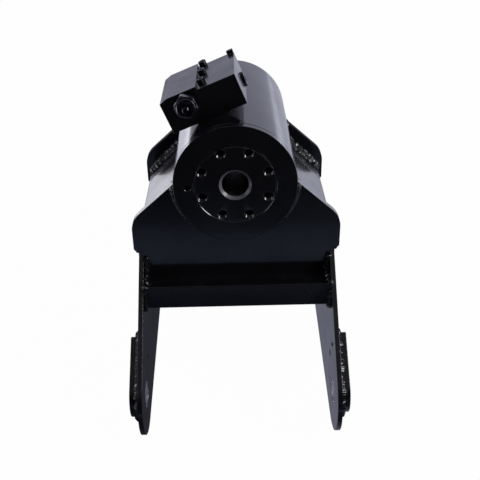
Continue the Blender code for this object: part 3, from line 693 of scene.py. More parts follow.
def make_dust() -> None:
    """Fine dust that settles on what faces up, in patches and specks."""
    sheet, given, out = new_group("settled dust", {"Vector": None, "Amount": 0.1}, ("Mask",))
    up = sheet.split(sheet.node("ShaderNodeNewGeometry").outputs["Normal"])["Z"]
    facing = sheet.spread(up, 0.1, 0.95, 0.05, 1.0)
    patches = sheet.spread(sheet.noise(given["Vector"], 30.0, 5.0, 0.65), 0.42, 0.8, 0.1, 1.0)
    specks = sheet.spread(sheet.noise(given["Vector"], 1300.0, 1.0), 0.68, 0.74)
    mask = sheet.math("MULTIPLY", facing, sheet.math("MAXIMUM", patches, specks))
    sheet.feed(out["Mask"], sheet.math("MULTIPLY", mask, given["Amount"]))


def make_edge_wear() -> None:
    """Edges where the film is thin: a Bevel node finds them, and noise breaks the line up."""
    sheet, given, out = new_group("edge wear", {"Vector": None, "Width": 0.0008}, ("Mask",))
    rounded = sheet.node("ShaderNodeBevel", samples=4)
    sheet.feed(rounded.inputs["Radius"], given["Width"])
    dot = sheet.node("ShaderNodeVectorMath", operation="DOT_PRODUCT")
    sheet.feed(dot.inputs[0], rounded.outputs[0])
    sheet.feed(dot.inputs[1], sheet.node("ShaderNodeNewGeometry").outputs["Normal"])
    edge = sheet.spread(dot.outputs["Value"], 0.985, 0.9)
    broken = sheet.spread(sheet.noise(given["Vector"], 210.0, 4.0, 0.7), 0.45, 0.65)
    sheet.feed(out["Mask"], sheet.math("MULTIPLY", edge, broken))


def make_turning_marks() -> None:
    """Fine rings about the shaft's axis, as a lathe tool leaves them."""
    sheet, given, out = new_group("turning marks", {"Vector": None, "Rings": 2600.0}, ("Height",))
    at = sheet.split(given["Vector"])
    wide = sheet.math("POWER", at["X"], 2.0)
    high = sheet.math("POWER", at["Z"], 2.0)
    radius = sheet.math("SQRT", sheet.math("ADD", wide, high))
    place = sheet.node("ShaderNodeCombineXYZ")
    sheet.feed(place.inputs[0], radius)
    sheet.feed(place.inputs[1], at["Y"])
    sheet.feed(out["Height"], sheet.noise(place.outputs[0], given["Rings"], 2.0, 0.7))


def make_heat_marks() -> None:
    """Spatter and lumps under the paint where a plate was welded to both saddles, fading out between them."""
    sheet, given, out = new_group("heat marks", {"Vector": None, "Middle": 0.123, "Free": 0.062}, ("Height",))
    along = sheet.split(given["Vector"])["Y"]
    away = sheet.math("ABSOLUTE", sheet.math("SUBTRACT", along, given["Middle"]))
    fuzzy = sheet.math("ADD", away, sheet.math("MULTIPLY", sheet.noise(given["Vector"], 45.0, 3.0), 0.012))
    start = sheet.math("SUBTRACT", fuzzy, given["Free"])
    mask = sheet.spread(start, 0.0, 0.022)
    lumps = sheet.noise(given["Vector"], 130.0, 5.0, 0.68)
    spatter = sheet.spread(sheet.noise(given["Vector"], 420.0, 1.0), 0.6, 0.66, 0.0, 0.8)
    sheet.feed(out["Height"], sheet.math("MULTIPLY", sheet.math("ADD", lumps, spatter), mask))


def make_groups() -> None:
    """Makes every shared effect once."""
    make_heat_marks()
    make_paint_film()
    make_dust()
    make_edge_wear()
    make_turning_marks()


# Finishes


@dataclass(frozen=True)
class Finish:
    """A finish that several pieces may share; its material is made when it is first asked for."""

    name: str
    colour: Triple
    roughness: float

    def material(self) -> bpy.types.Material:
        """Makes the finish's material when it is first asked for.

        Returns:
            The material.
        """
        made = bpy.data.materials.get(self.name)
        if made:
            return made
        made = bpy.data.materials.new(self.name)
        sheet = blank(made)
        principled = sheet.node("ShaderNodeBsdfPrincipled")
        output = sheet.node("ShaderNodeOutputMaterial")
        sheet.feed(output.inputs["Surface"], principled.outputs[0])
        self.draw(sheet, principled.inputs)
        return made

    def draw(self, sheet: Sheet, sockets: bpy.types.bpy_prop_collection) -> None:
        """Draws the finish's nodes.

        Args:
            sheet: The material's node tree.
            sockets: The inputs of its Principled BSDF.
        """
        raise NotImplementedError

    def shade(self, value: float) -> Colour:
        """The finish's colour, made lighter or darker by a factor."""
        return (*(channel * value for channel in self.colour), 1.0)


@dataclass(frozen=True)
class GlossPaint(Finish):
    """Black enamel, sprayed over everything: orange peel, a trace of dust, and thin paint on sharp edges."""

    peel: float = 620.0
    film: float = 0.00003
    dust: float = 0.12
    dust_colour: Colour = (0.10, 0.10, 0.105, 1.0)
    # Colour on sharp edges: thinner paint, and on the bare bore mouth a painted highlight along its rims.
    worn_colour: Colour = (0.030, 0.030, 0.034, 1.0)
    ior: float = 1.5
    coat: float = 0.6
    coat_roughness: float = 0.07
    heat: float = 0.0

    def draw(self, sheet: Sheet, sockets: bpy.types.bpy_prop_collection) -> None:
        """Draws the paint's nodes.

        Args:
            sheet: The material's node tree.
            sockets: The inputs of its Principled BSDF.
        """
        where = sheet.lie_on_actuator()
        film = sheet.group("paint film", Vector=where, Peel=self.peel, Roughness=self.roughness)
        dust = sheet.group("settled dust", Vector=where, Amount=self.dust)
        wear = sheet.group("edge wear", Vector=where)
        depth = sheet.spread(sheet.noise(where, 16.0, 3.0), 0.3, 0.7)
        body = sheet.tint(depth, self.shade(0.8), self.shade(1.25))
        dusty = sheet.tint(dust.outputs["Mask"], body, self.dust_colour)
        sheet.feed(sockets["Base Color"], sheet.tint(wear.outputs["Mask"], dusty, self.worn_colour))
        dulled = sheet.math("MULTIPLY", dust.outputs["Mask"], 0.8)
        sheet.feed(sockets["Roughness"], sheet.math("ADD", film.outputs["Roughness"], dulled))
        skin = sheet.bump(film.outputs["Height"], self.film)
        if self.heat:
            skin = sheet.bump(sheet.group("heat marks", Vector=where).outputs["Height"], self.heat, skin)
        sheet.feed(sockets["Normal"], skin)
        sheet.feed(sockets["Coat Normal"], skin)
        sockets["IOR"].default_value = self.ior
        sockets["Coat Weight"].default_value = self.coat
        sockets["Coat Roughness"].default_value = self.coat_roughness


@dataclass(frozen=True)
class PaintedWeld(Finish):
    """The same enamel over a weld bead, where slag pits and scale roughen it."""

    ior: float = 1.5

    def draw(self, sheet: Sheet, sockets: bpy.types.bpy_prop_collection) -> None:
        """Draws the painted weld's nodes.

        Args:
            sheet: The material's node tree.
            sockets: The inputs of its Principled BSDF.
        """
        where = sheet.lie_on_actuator()
        film = sheet.group("paint film", Vector=where, Peel=480.0, Roughness=self.roughness)
        lumps = sheet.noise(where, 260.0, 4.0, 0.6)
        pits = sheet.spread(sheet.noise(where, 700.0, 2.0), 0.28, 0.42)
        mottle = sheet.spread(lumps, 0.35, 0.7)
        sheet.feed(sockets["Base Color"], sheet.tint(mottle, self.shade(0.6), self.shade(1.8)))
        dulled = sheet.spread(pits, 0.0, 1.0, 1.5, 0.9)
        sheet.feed(sockets["Roughness"], sheet.math("MULTIPLY", film.outputs["Roughness"], dulled))
        rough = sheet.bump(sheet.math("ADD", lumps, sheet.math("MULTIPLY", pits, 0.25)), 0.00022)
        sheet.feed(sockets["Normal"], sheet.bump(film.outputs["Height"], 0.00002, rough))
        sockets["IOR"].default_value = self.ior
        sockets["Coat Weight"].default_value = 0.25


@dataclass(frozen=True)
class Metal(Finish):
    """A bare or plated metal: turned or rolled marks, a stain here and there."""

    rings: float = 2600.0
    marks: float = 0.00001
    stain: Colour = (0.05, 0.045, 0.04, 1.0)
    stained: float = 0.3

    def draw(self, sheet: Sheet, sockets: bpy.types.bpy_prop_collection) -> None:
        """Draws the metal's nodes.

        Args:
            sheet: The material's node tree.
            sockets: The inputs of its Principled BSDF.
        """
        where = sheet.lie_on_actuator()
        marks = sheet.group("turning marks", Vector=where, Rings=self.rings)
        wear = sheet.group("edge wear", Vector=where, Width=0.0005)
        patches = sheet.noise(where, 110.0, 5.0, 0.65)
        stain = sheet.spread(patches, 0.5, 0.78, 0.0, self.stained)
        base = sheet.tint(sheet.spread(patches, 0.25, 0.6), self.shade(0.82), self.shade(1.1))
        dirty = sheet.tint(stain, base, self.stain)
        sheet.feed(sockets["Base Color"], sheet.tint(wear.outputs["Mask"], dirty, self.shade(1.6)))
        rough = sheet.spread(patches, 0.3, 0.75, self.roughness * 0.8, self.roughness * 1.4)
        sheet.feed(sockets["Roughness"], rough)
        sheet.feed(sockets["Normal"], sheet.bump(marks.outputs["Height"], self.marks))
        sockets["Metallic"].default_value = 1.0


@dataclass(frozen=True)
class Rubber(Finish):
    """Moulded rubber: fine grain and a greasy film in patches."""

    def draw(self, sheet: Sheet, sockets: bpy.types.bpy_prop_collection) -> None:
        """Draws the rubber's nodes.

        Args:
            sheet: The material's node tree.
            sockets: The inputs of its Principled BSDF.
        """
        where = sheet.lie_on_actuator()
        grain = sheet.noise(where, 2200.0, 2.0)
        grease = sheet.spread(sheet.noise(where, 70.0, 4.0), 0.4, 0.7)
        sheet.feed(sockets["Base Color"], sheet.tint(grease, self.shade(1.0), self.shade(0.6)))
        sheet.feed(sockets["Roughness"], sheet.spread(grease, 0.0, 1.0, self.roughness, self.roughness * 0.5))
        sheet.feed(sockets["Normal"], sheet.bump(grain, 0.00002))


BLACK = (0.0042, 0.0042, 0.0052)
MACHINED_PAINT = GlossPaint("machined paint", BLACK, 0.19)
PLATE_PAINT = GlossPaint("plate paint", BLACK, 0.22, peel=480.0, film=0.00005, dust=0.14, coat_roughness=0.1)
HEATED_PAINT = replace(PLATE_PAINT, name="heated plate paint", heat=0.004)
TUBE_PAINT = GlossPaint("tube paint", BLACK, 0.22, peel=480.0, film=0.00004, dust=0.03, coat_roughness=0.1)
VALVE_PAINT = GlossPaint("valve paint", BLACK, 0.28, peel=900.0, film=0.00002, dust=0.08, coat_roughness=0.1)
WELD_PAINT = PaintedWeld("weld paint", BLACK, 0.20)
WING_WELD_PAINT = PaintedWeld("wing weld paint", BLACK, 0.3, ior=1.75)
CUT_EDGE_PAINT = GlossPaint(
    "cut edge paint", BLACK, 0.45, peel=260.0, film=0.00008, dust=0.1, ior=1.12, coat=0.0)
BORE_STEEL = Metal("bore steel", (0.13, 0.13, 0.14), 0.40, rings=3200.0, marks=0.00002)
# The bare bore mouth's light grey edge colour is a painted highlight along the rims of its chamfer.
BARE_MOUTH = GlossPaint(
    "bare bore mouth", (0.115, 0.115, 0.125), 0.34, dust=0.0, coat=0.2, worn_colour=(0.42, 0.42, 0.44, 1.0))
PIN_STEEL = Metal("pin bore steel", (0.9, 0.9, 0.93), 0.3, rings=2400.0, marks=0.00001)
RUBBED_RIM = Metal("rubbed rim", (0.15, 0.15, 0.16), 0.42, rings=2400.0, marks=0.00001)
DARK_ZINC = Metal("dark zinc", (0.045, 0.045, 0.052), 0.25, rings=4000.0, marks=0.000006)
CARTRIDGE_ZINC = Metal("cartridge zinc", (0.17, 0.17, 0.19), 0.22, rings=5200.0, marks=0.000008)
TOOTH_STEEL = Metal("tooth steel", (0.34, 0.33, 0.32), 0.28, rings=1800.0, stained=0.5)
BEARING_BRONZE = Metal("bearing bronze", (0.42, 0.25, 0.09), 0.33, rings=2200.0, stain=(0.1, 0.05, 0.02, 1.0))
SEAL_RUBBER = Rubber("seal rubber", (0.014, 0.014, 0.015), 0.5)


def report(obj: Piece) -> None:
    """Logs a finished piece with its count of faces."""
    log.info("%-22s %6d faces", obj.name, len(obj.data.polygons))


def settle(
    obj: Piece, name: str, finish: Finish, body: str = "bracket",
    nodes: Sequence[str] = (),
) -> None:
    """Finishes a piece: smooths it, paints it, takes it to its place, hangs it on its body and hides the CAD
    nodes that it stands for.

    Args:
        obj: The piece in the actuator's frame.
        name: Its name.
        finish: Its finish, unless its faces have their materials already.
        body: The CAD body that it moves with.
        nodes: The CAD nodes that it stands for.
    """
    placed(named(obj, name), STAND)
    take(obj)
    bpy.ops.object.shade_smooth_by_angle(angle=SMOOTH_ANGLE)
    weighted = obj.modifiers.new("flat faces", "WEIGHTED_NORMAL")
    weighted.keep_sharp = True
    weighted.weight = 80
    apply_modifier(obj, weighted)
    if not obj.data.materials:
        paint(obj, finish)
    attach(obj, body)
    if nodes:
        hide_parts(*nodes)
    report(obj)


def paint(obj: Piece, *finishes: Finish) -> None:
    """Gives an object those finishes in place of what it has."""
    obj.data.materials.clear()
    for finish in finishes:
        obj.data.materials.append(finish.material())


def paint_faces(obj: Piece, finishes: Sequence[Finish], choose: Callable[[Vector, Vector], Finish]) -> None:
    """Gives each face of a piece one of several finishes.

    Args:
        obj: The piece in the actuator's frame.
        finishes: Its finishes.
        choose: Picks one of them from a face's middle and normal.
    """
    paint(obj, *finishes)
    for face in obj.data.polygons:
        face.material_index = finishes.index(choose(face.center, face.normal))


# Housing and gland


@dataclass
class TappedHole:
    """A chamfered, drilled and tapped hole, drawn along Y with its mouth at y = 0."""

    radius: float = 5.6
    depth: float = 20.0
    chamfer: float = 1.1
    pitch: float = 1.75
    thread_height: float = 0.75

    def drill(self, name: str, place: Matrix) -> Piece:
        """The drill that cuts the hole, with its countersink.

        Args:
            name: The drill's name.
            place: Where the hole goes.

        Returns:
            The drill.
        """
        flare = self.radius + self.chamfer + OVER
        profile = [
            (0.0, -OVER), (flare, -OVER), (self.radius + 0.12, self.chamfer - 0.12),
            (self.radius, self.chamfer + 0.1), (self.radius, self.depth - self.radius / 2), (0.0, self.depth)]
        return placed(turned(name, profile, MEDIUM, closed=False), place)

    def thread(self, name: str, place: Matrix) -> Piece:
        """The thread's ridge on the hole's wall.

        Args:
            name: The ridge's name.
            place: Where the hole goes.

        Returns:
            The ridge.
        """
        start = self.chamfer * 0.6
        turns = int((self.depth - self.radius / 2 - start) / self.pitch) - 1
        ridge = thread_ridge(
            name, self.radius + 0.08, self.radius - self.thread_height, self.pitch, turns, start)
        return placed(ridge, place)


@dataclass
class SetScrew:
    """A socket set screw along Y, whose face with the hexagon socket is at y = 0 and looks to -Y."""

    radius: float
    length: float
    socket: float = 1.8
    socket_depth: float = 3.0
    rim: float = 0.5
    pitch: float = 1.0
    thread_height: float = 0.45

    def make(self, name: str, place: Matrix) -> Piece:
        """Turns the screw, sinks its socket and winds a few turns of thread near its face.

        Args:
            name: The screw's name.
            place: Where it goes.

        Returns:
            The screw.
        """
        core = self.radius - self.thread_height
        profile = [
            (0.0, 0.0), (core - self.rim, 0.0), (core, self.rim), (core, self.length - self.rim),
            (core - self.rim, self.length), (0.0, self.length)]
        screw = turned(name, profile, SMALL * 2, closed=False)
        cut(screw, hex_bar("socket", self.socket, -OVER, self.socket_depth))
        turns = int((self.length - 1.0) / self.pitch) - 1
        ridge = thread_ridge("ridge", core - 0.08, self.radius, self.pitch, turns, 0.4)
        return placed(joined(name, screw, ridge), place)


@dataclass
class Housing:
    """The round tube with its milled pad for the valve, and the front gland screwed into it."""

    radius: float = 75.0
    length: float = 263.0
    front: float = 9.3
    bore: float = 60.0
    rear_chamfer: float = 2.0
    counterbore: float = 49.9
    rear_seat: float = 248.7
    rear_pocket: float = 45.5
    pocket_start: float = 223.7
    pad_height: float = 73.5
    pad_span: Span = (41.0, 138.0)
    valve_turn: float = 22.3
    gland_rim: float = 9.0
    gland_inner: float = 49.9
    gland_pocket: float = 53.0
    groove: Span = (13.0, 17.0)
    groove_depth: float = 2.4
    spigot_end: float = 22.0
    gland_lip: float = 3.0
    screw_place: Span = (57.5, 183.0)
    screw_sunk: float = 0.8
    seam_screw_x: float = 4.5
    seam_screw_top: float = 76.5
    seam_middle: float = 0.15
    seam_hole: Span = (4.3, 9.8)

    def build(self) -> None:
        """Makes the tube, the gland and their two lock screws."""
        seam = self.front - self.seam_middle
        seam_place = shifted(self.seam_screw_x, seam, self.seam_screw_top) @ UPRIGHT.inverted()
        tube = self.tube()
        gland = self.gland()
        radius, depth = self.seam_hole
        hole = placed(bar("seam hole", radius, -OVER, depth), seam_place)
        cut(tube, hole, keep=True)
        cut(gland, hole)
        settle(broken_edges(tube, 0.25, 2, 40), "round_housing", MACHINED_PAINT, nodes=["housing"])
        settle(gland, "gland_ring", MACHINED_PAINT, nodes=["front_gland"])
        seam_screw = SetScrew(4.0, 9.5).make("seam screw", seam_place)
        settle(seam_screw, "seam_set_screw", DARK_ZINC, nodes=["seam_lock_screw"])
        screw = SetScrew(3.5, 7.2).make("gland screw", self.gland_screw_place(self.screw_sunk))
        settle(screw, "gland_set_screw", DARK_ZINC, nodes=["gland_lock_screw"])

    def gland_screw_place(self, sunk: float) -> Matrix:
        """The place of the gland's lock screw, sunk by that much below the face."""
        circle, angle = self.screw_place
        return about_shaft(angle) @ shifted(circle, sunk, 0.0)

    def tube(self) -> Piece:
        """The tube with the pad milled into it.

        Returns:
            The tube, without the seam screw's hole.
        """
        rear = self.length
        profile = [(self.bore, self.front), (self.radius - 0.8, self.front)]
        profile += arc((self.radius - 0.8, self.front + 0.8), 0.8, -60, 0, 3)
        profile += [(self.radius, self.front + 60.0), (self.radius, self.front + 150.0)]
        rounding = self.rear_chamfer
        profile += arc((self.radius - rounding, rear - rounding), rounding, 0, 90, 4)
        profile += [
            (self.counterbore + 0.6, rear), (self.counterbore, rear - 0.6),
            (self.counterbore, self.rear_seat), (self.rear_pocket, self.rear_seat),
            (self.rear_pocket, self.pocket_start), (self.bore, self.pocket_start)]
        tube = turned("tube", profile)
        start, end = self.pad_span
        pad = block("pad", (-self.radius, start, self.pad_height), (self.radius, end, self.radius + OVER))
        return cut(tube, placed(pad, about_shaft(self.valve_turn)))

    def gland(self) -> Piece:
        """The front ring with its spigot, groove and screw hole.

        Returns:
            The ring.
        """
        rim, end, lip = self.gland_rim, self.spigot_end, self.gland_lip
        spigot = self.bore - GAP
        floor = spigot - self.groove_depth
        profile = [(self.gland_inner, 0.9), (self.gland_inner + 0.9, 0.0), (self.radius - 0.9, 0.0)]
        profile += arc((self.radius - 0.7, 0.7), 0.7, -80, 0, 4)
        profile += arc((self.radius - 0.8, rim - 0.8), 0.8, 0, 90, 3)
        profile += [
            (spigot, rim), (spigot, self.groove[0]), (floor, self.groove[0]), (floor, self.groove[1]),
            (spigot, self.groove[1]), (spigot, end), (self.gland_pocket, end), (self.gland_pocket, lip),
            (self.gland_inner, lip)]
        gland = turned("gland", profile)
        hole = TappedHole(radius=3.8, depth=11.8, chamfer=0.6)
        return cut(gland, hole.drill("screw hole", self.gland_screw_place(0.0)))


# Shaft


@dataclass
class RotorShaft:
    """The shaft with its front flange, and the end cap with its dowel: all that turns together."""

    flange: float = 49.5
    bore: float = 16.3
    bore_chamfer: float = 3.2
    edge: float = 1.0
    join_y: float = 21.5
    front_circle: float = 43.0
    rear_circle: float = 33.0
    cap_bore: float = 24.3
    cap_hub: float = 42.0
    cap_start: float = 229.0
    cap_flange: float = 251.0
    rear: float = 263.0
    holes: int = 8
    cap_hole_depth: float = 16.0
    dowel_x: float = 24.15
    dowel_radius: float = 2.5
    dowel_length: float = 11.4
    dowel_sunk: float = 0.6

    def build(self) -> None:
        """Makes the shaft, the end cap and the dowel."""
        shaft = joined("shaft piece", self.front_flange(), self.rear_part())
        paint_faces(shaft, (MACHINED_PAINT, BARE_MOUTH, TOOTH_STEEL, RUBBED_RIM), self.shaft_finish)
        settle(shaft, "rotor_shaft", MACHINED_PAINT, body="shaft", nodes=["shaft"])
        settle(self.end_cap(), "rear_end_cap", MACHINED_PAINT, body="shaft", nodes=["end_cap"])
        settle(self.dowel(), "cap_dowel", BORE_STEEL, "shaft", ["end_cap_dowel"])

    def tapped(self, flange: Piece, hole: TappedHole, circle: float, facing: Matrix) -> list[Piece]:
        """Drills a flange's ring of holes.

        Args:
            flange: The flange.
            hole: What each hole is.
            circle: The radius of the circle that they are on.
            facing: The flange's place and the way it looks.

        Returns:
            The ridges of the threads.
        """
        drill = hole.drill("drill", Matrix.Identity(4))
        ridge = hole.thread("ridge", Matrix.Identity(4))
        ridges = []
        for i in range(self.holes):
            place = facing @ about_shaft((i + 0.5) * 360 / self.holes) @ shifted(circle, 0.0, 0.0)
            cut(flange, copied(drill, f"drill {i}", place))
            ridges.append(copied(ridge, f"ridge {i}", place))
        discard(drill, ridge)
        return ridges

    def shaft_finish(self, middle: Vector, normal: Vector) -> Finish:
        """The finish of a face of the shaft.

        Args:
            middle: The face's middle.
            normal: Its normal.

        Returns:
            Paint in front and in the bore, bare metal at its mouth and on the rim, tooth steel inside.
        """
        radius = math.hypot(middle.x, middle.z)
        inwards = (normal.x * middle.x + normal.z * middle.z) < -0.3 * radius
        if radius < self.bore + self.bore_chamfer + 0.1 and inwards:
            return BARE_MOUTH if middle.y < self.bore_chamfer else MACHINED_PAINT
        if middle.y < self.edge and radius > self.flange - self.edge:
            return RUBBED_RIM
        in_front = middle.y < self.join_y + 0.1 and radius > self.bore + 2.0
        return MACHINED_PAINT if in_front else TOOTH_STEEL

    def front_flange(self) -> Piece:
        """The flange with its bore and its eight tapped holes.

        Returns:
            The front part of the shaft.
        """
        mouth = self.bore + self.bore_chamfer
        profile = [
            (mouth + 0.25, 0.0), (mouth - 0.1, 0.25), (self.bore, self.bore_chamfer),
            (self.bore, self.join_y), (self.flange, self.join_y), (self.flange, self.edge),
            (self.flange - 0.25, 0.22), (self.flange - self.edge, 0.0)]
        flange = turned("front flange", profile)
        ridges = self.tapped(flange, TappedHole(), self.front_circle, Matrix.Identity(4))
        return joined("front flange", flange, *ridges)

    def rear_part(self) -> Piece:
        """The collar, the helical spline and the stub, from a copy of the CAD's shaft behind the flange.

        Returns:
            The rear part of the shaft, in the actuator's frame.
        """
        take(frame["nodes"]["shaft"])
        bpy.ops.object.duplicate(linked=False)
        part = bpy.context.object
        part.parent = None
        for key in [key for key in part.keys() if key.startswith("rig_")]:
            del part[key]
        part.data.materials.clear()
        placed(part, STAND.inverted())
        with shaping(part):
            bpy.ops.mesh.remove_doubles(threshold=0.002)
            bpy.ops.mesh.bisect(
                plane_co=(0.0, self.join_y, 0.0), plane_no=(0.0, 1.0, 0.0), clear_inner=True, use_fill=True)
            bpy.ops.mesh.select_all(action="SELECT")
            bpy.ops.mesh.normals_make_consistent(inside=False)
        return part

    def end_cap(self) -> Piece:
        """The rear flange with its tapped holes and the dowel's slot.

        Returns:
            The end cap.
        """
        rear = self.rear
        profile = [
            (self.cap_bore, self.cap_start), (self.cap_hub, self.cap_start), (self.cap_hub, self.cap_flange),
            (self.flange, self.cap_flange), (self.flange, rear - self.edge),
            (self.flange - 0.22, rear - 0.25), (self.flange - self.edge, rear),
            (self.cap_bore + 0.5, rear), (self.cap_bore, rear - 0.5)]
        cap = turned("cap", profile)
        facing_back = shifted(0.0, rear, 0.0) @ Matrix.Rotation(math.pi, 4, "Z")
        ridges = self.tapped(cap, TappedHole(depth=self.cap_hole_depth), self.rear_circle, facing_back)
        bottom = rear - self.dowel_sunk - self.dowel_length - GAP
        slot = bar("slot", self.dowel_radius + GAP, bottom, rear + OVER, SMALL)
        cut(cap, placed(slot, shifted(self.dowel_x, 0.0, 0.0)))
        return joined("cap", cap, *ridges)

    def dowel(self) -> Piece:
        """The dowel that locks the cap on its thread, with domed ends.

        Returns:
            The dowel.
        """
        radius = self.dowel_radius
        end = self.rear - self.dowel_sunk
        start = end - self.dowel_length
        profile = [
            (0.0, start), (radius - 0.5, start), (radius, start + 0.5), (radius, end - 0.6),
            (radius - 0.3, end - 0.2), (radius - 1.1, end), (0.0, end)]
        return placed(turned("dowel", profile, SMALL * 2, closed=False), shifted(self.dowel_x, 0.0, 0.0))


# Valve


@dataclass
class ValveManifold:
    """The counterbalance valve: its block, tab, port plug, cap screws, cartridge, lock nut and adjuster.

    It is drawn upright, with heights above the shaft's axis, and then turned about that axis.
    """

    turn: float = 22.3
    left: float = -48.4
    right: float = 48.0
    front: float = 43.0
    length: float = 93.0
    bottom: float = 73.8
    high: float = 116.8
    low: float = 112.8
    bevel: Span = (10.4, 3.3)
    port_from_back: float = 31.0
    port_height: float = 84.0
    spot_face: Span = (9.8, 0.8)
    plug_collar: float = 9.4
    plug_rise: float = 3.6
    plug_stem: float = 5.7
    plug_depth: float = 12.0
    plug_socket: float = 4.0
    tab_size: Triple = (8.5, 6.0, 4.75)
    bolt_x: float = 6.2
    bolt_rows: tuple[float, ...] = (60.0, 96.0, 132.0)
    bolt_hole: Span = (3.3, 24.0)
    bolt_twist: float = 17.0
    head_radius: float = 5.0
    head_height: float = 6.0
    head_facets: int = 64
    head_socket: float = 2.5
    barrel: float = 5.0
    cartridge_x: float = -18.5
    cartridge_z: float = 102.2
    cartridge_half: float = 13.0
    cartridge_hexagon: float = 8.4
    cavity: Span = (10.3, 40.0)
    nut_half: float = 8.5
    nut_thickness: float = 5.0
    nut_rear: float = 11.9
    screw_core: float = 3.55
    screw_reach: float = 21.0
    screw_length: float = 30.0
    screw_socket: float = 2.0

    @property
    def back(self) -> float:
        """Where the block ends along the shaft."""
        return self.front + self.length

    def build(self) -> None:
        """Makes every piece of the valve."""
        turn = about_shaft(self.turn)
        settle(placed(self.body(), turn), "manifold_block", VALVE_PAINT, nodes=["valve_block"])
        settle(placed(self.tab(), turn), "locating_tab", VALVE_PAINT, nodes=["valve_tab"])
        settle(placed(self.port_plug(), turn), "port_plug", DARK_ZINC)
        screw = self.cap_screw()
        for i, y in enumerate(self.bolt_rows):
            name = f"cap_screw_{i + 1}"
            twist = Matrix.Rotation(math.radians(self.bolt_twist * i), 4, "Z")
            piece = copied(screw, name, turn @ shifted(self.bolt_x, y, self.low + GAP) @ twist @ UPRIGHT)
            settle(piece, name, DARK_ZINC, nodes=[f"valve_bolt_{i + 1}"])
        discard(screw)
        axis = turn @ shifted(self.cartridge_x, 0.0, self.cartridge_z)
        fittings = (
            (self.cartridge(), "relief_cartridge", CARTRIDGE_ZINC, "steel", "valve_cartridge"),
            (self.lock_nut(), "adjuster_lock_nut", DARK_ZINC, "dark_screws", "valve_lock_nut"),
            (self.adjuster(), "pressure_adjuster", DARK_ZINC, "dark_screws", "valve_adjuster"))
        for piece, name, finish, slot, node in fittings:
            settle(placed(piece, axis), name, finish, nodes=[node])

    def port_place(self, side: Side) -> Matrix:
        """The place of a port, looking out of that side of the upright block."""
        edge = self.right if side is Side.RIGHT else self.left
        mouth = shifted(edge, self.back - self.port_from_back, self.port_height)
        return mouth @ Matrix.Rotation(side.value * math.pi / 2, 4, "Z")

    def body(self) -> Piece:
        """The milled block with its step, its ports and the bores for the screws and the cartridge.

        Returns:
            The block, upright.
        """
        width, drop = self.bevel
        outline = [
            (self.left, self.bottom), (self.right, self.bottom), (self.right, self.low), (0.0, self.low),
            (0.0, self.high), (self.left + width, self.high), (self.left, self.high - drop)]
        body = plate("body", outline, "Y", self.front, self.back)
        port = TappedHole(radius=6.6, depth=18.0, chamfer=1.2, pitch=1.5)
        ridges = []
        for side in (Side.RIGHT, Side.LEFT):
            place = self.port_place(side)
            cut(body, port.drill("port", place))
            radius, depth = self.spot_face
            cut(body, placed(bar("spot face", radius, -OVER, depth), place))
            ridges.append(port.thread("port ridge", place))
        for y in self.bolt_rows:
            radius, depth = self.bolt_hole
            hole = bar("bolt hole", radius, self.low - depth, self.low + OVER + 4.0, SMALL)
            cut(body, placed(hole, shifted(self.bolt_x, y, 0.0) @ UPRIGHT))
        radius, depth = self.cavity
        cavity = bar("cavity", radius, self.front - OVER, self.front + depth)
        cut(body, placed(cavity, shifted(self.cartridge_x, 0.0, self.cartridge_z)))
        return joined("body", broken_edges(body, 0.45, 3, 35), *ridges)

    def tab(self) -> Piece:
        """The small tab at the block's rear right corner.

        Returns:
            The tab, upright.
        """
        base = self.low + GAP
        width, length, height = self.tab_size
        low = (self.right - width, self.back - length, base)
        tab = block("tab", low, (self.right, self.back, base + height))
        return broken_edges(tab, 0.8, 3, 35)

    def port_plug(self) -> Piece:
        """The plug in the right port: a collar with a hexagon socket, and its thread in the block.

        Returns:
            The plug, upright.
        """
        collar, rise, stem = self.plug_collar, self.plug_rise, self.plug_stem
        profile = [
            (0.0, -rise), (collar - 1.2, -rise), (collar - 0.3, 0.5 - rise), (collar, 1.3 - rise),
            (collar, 0.75), (stem, 0.75), (stem, self.plug_depth), (0.0, self.plug_depth)]
        plug = turned("plug", profile, MEDIUM * 2, closed=False)
        cut(plug, hex_bar("socket", self.plug_socket, -rise - OVER, 3.0))
        return placed(plug, self.port_place(Side.RIGHT))

    def cap_screw(self) -> Piece:
        """A cap screw with a knurled head and a hexagon socket, along Y, its seat at y = 0.

        Returns:
            The screw.
        """
        height = self.head_height
        head = bar("cap screw", self.head_radius, 0.0, height, self.head_facets)
        with shaping(head):
            select(head, Pick.EDGES, self.is_knurl_valley)
            bpy.ops.transform.resize(value=(0.955, 1.0, 0.955), center_override=(0.0, 0.0, 0.0))
            select(head, Pick.FACES, lambda face: face.normal.y > 0.9)
            bpy.ops.mesh.inset(thickness=0.45)
        with shaping(head):
            select(head, Pick.EDGES, self.is_top_rim)
            bpy.ops.transform.translate(value=(0.0, -0.4, 0.0))
        cut(head, hex_bar("socket", self.head_socket, height / 2, height + OVER))
        shank = [(0.0, -22.0), (2.6, -22.0), (3.0, -21.5), (3.0, 0.4), (0.0, 0.4)]
        return joined("cap screw", head, turned("shank", shank, SMALL, closed=False))

    def is_knurl_valley(self, edge: bmesh.types.BMEdge) -> bool:
        """Whether an edge is every second one of those along the head's side.

        Args:
            edge: An edge of the head.

        Returns:
            True in a valley of the knurl.
        """
        first, second = edge.verts
        upright = abs(first.co.y - second.co.y) > 1.0
        step = round(math.atan2(first.co.z, first.co.x) / (math.tau / self.head_facets) - 0.5)
        return upright and step % 2 == 0

    def is_top_rim(self, edge: bmesh.types.BMEdge) -> bool:
        """Whether an edge is on the rim of the head's top."""
        high, wide = self.head_height - 0.1, self.head_radius - 0.3
        return all(vert.co.y > high and math.hypot(vert.co.x, vert.co.z) > wide for vert in edge.verts)

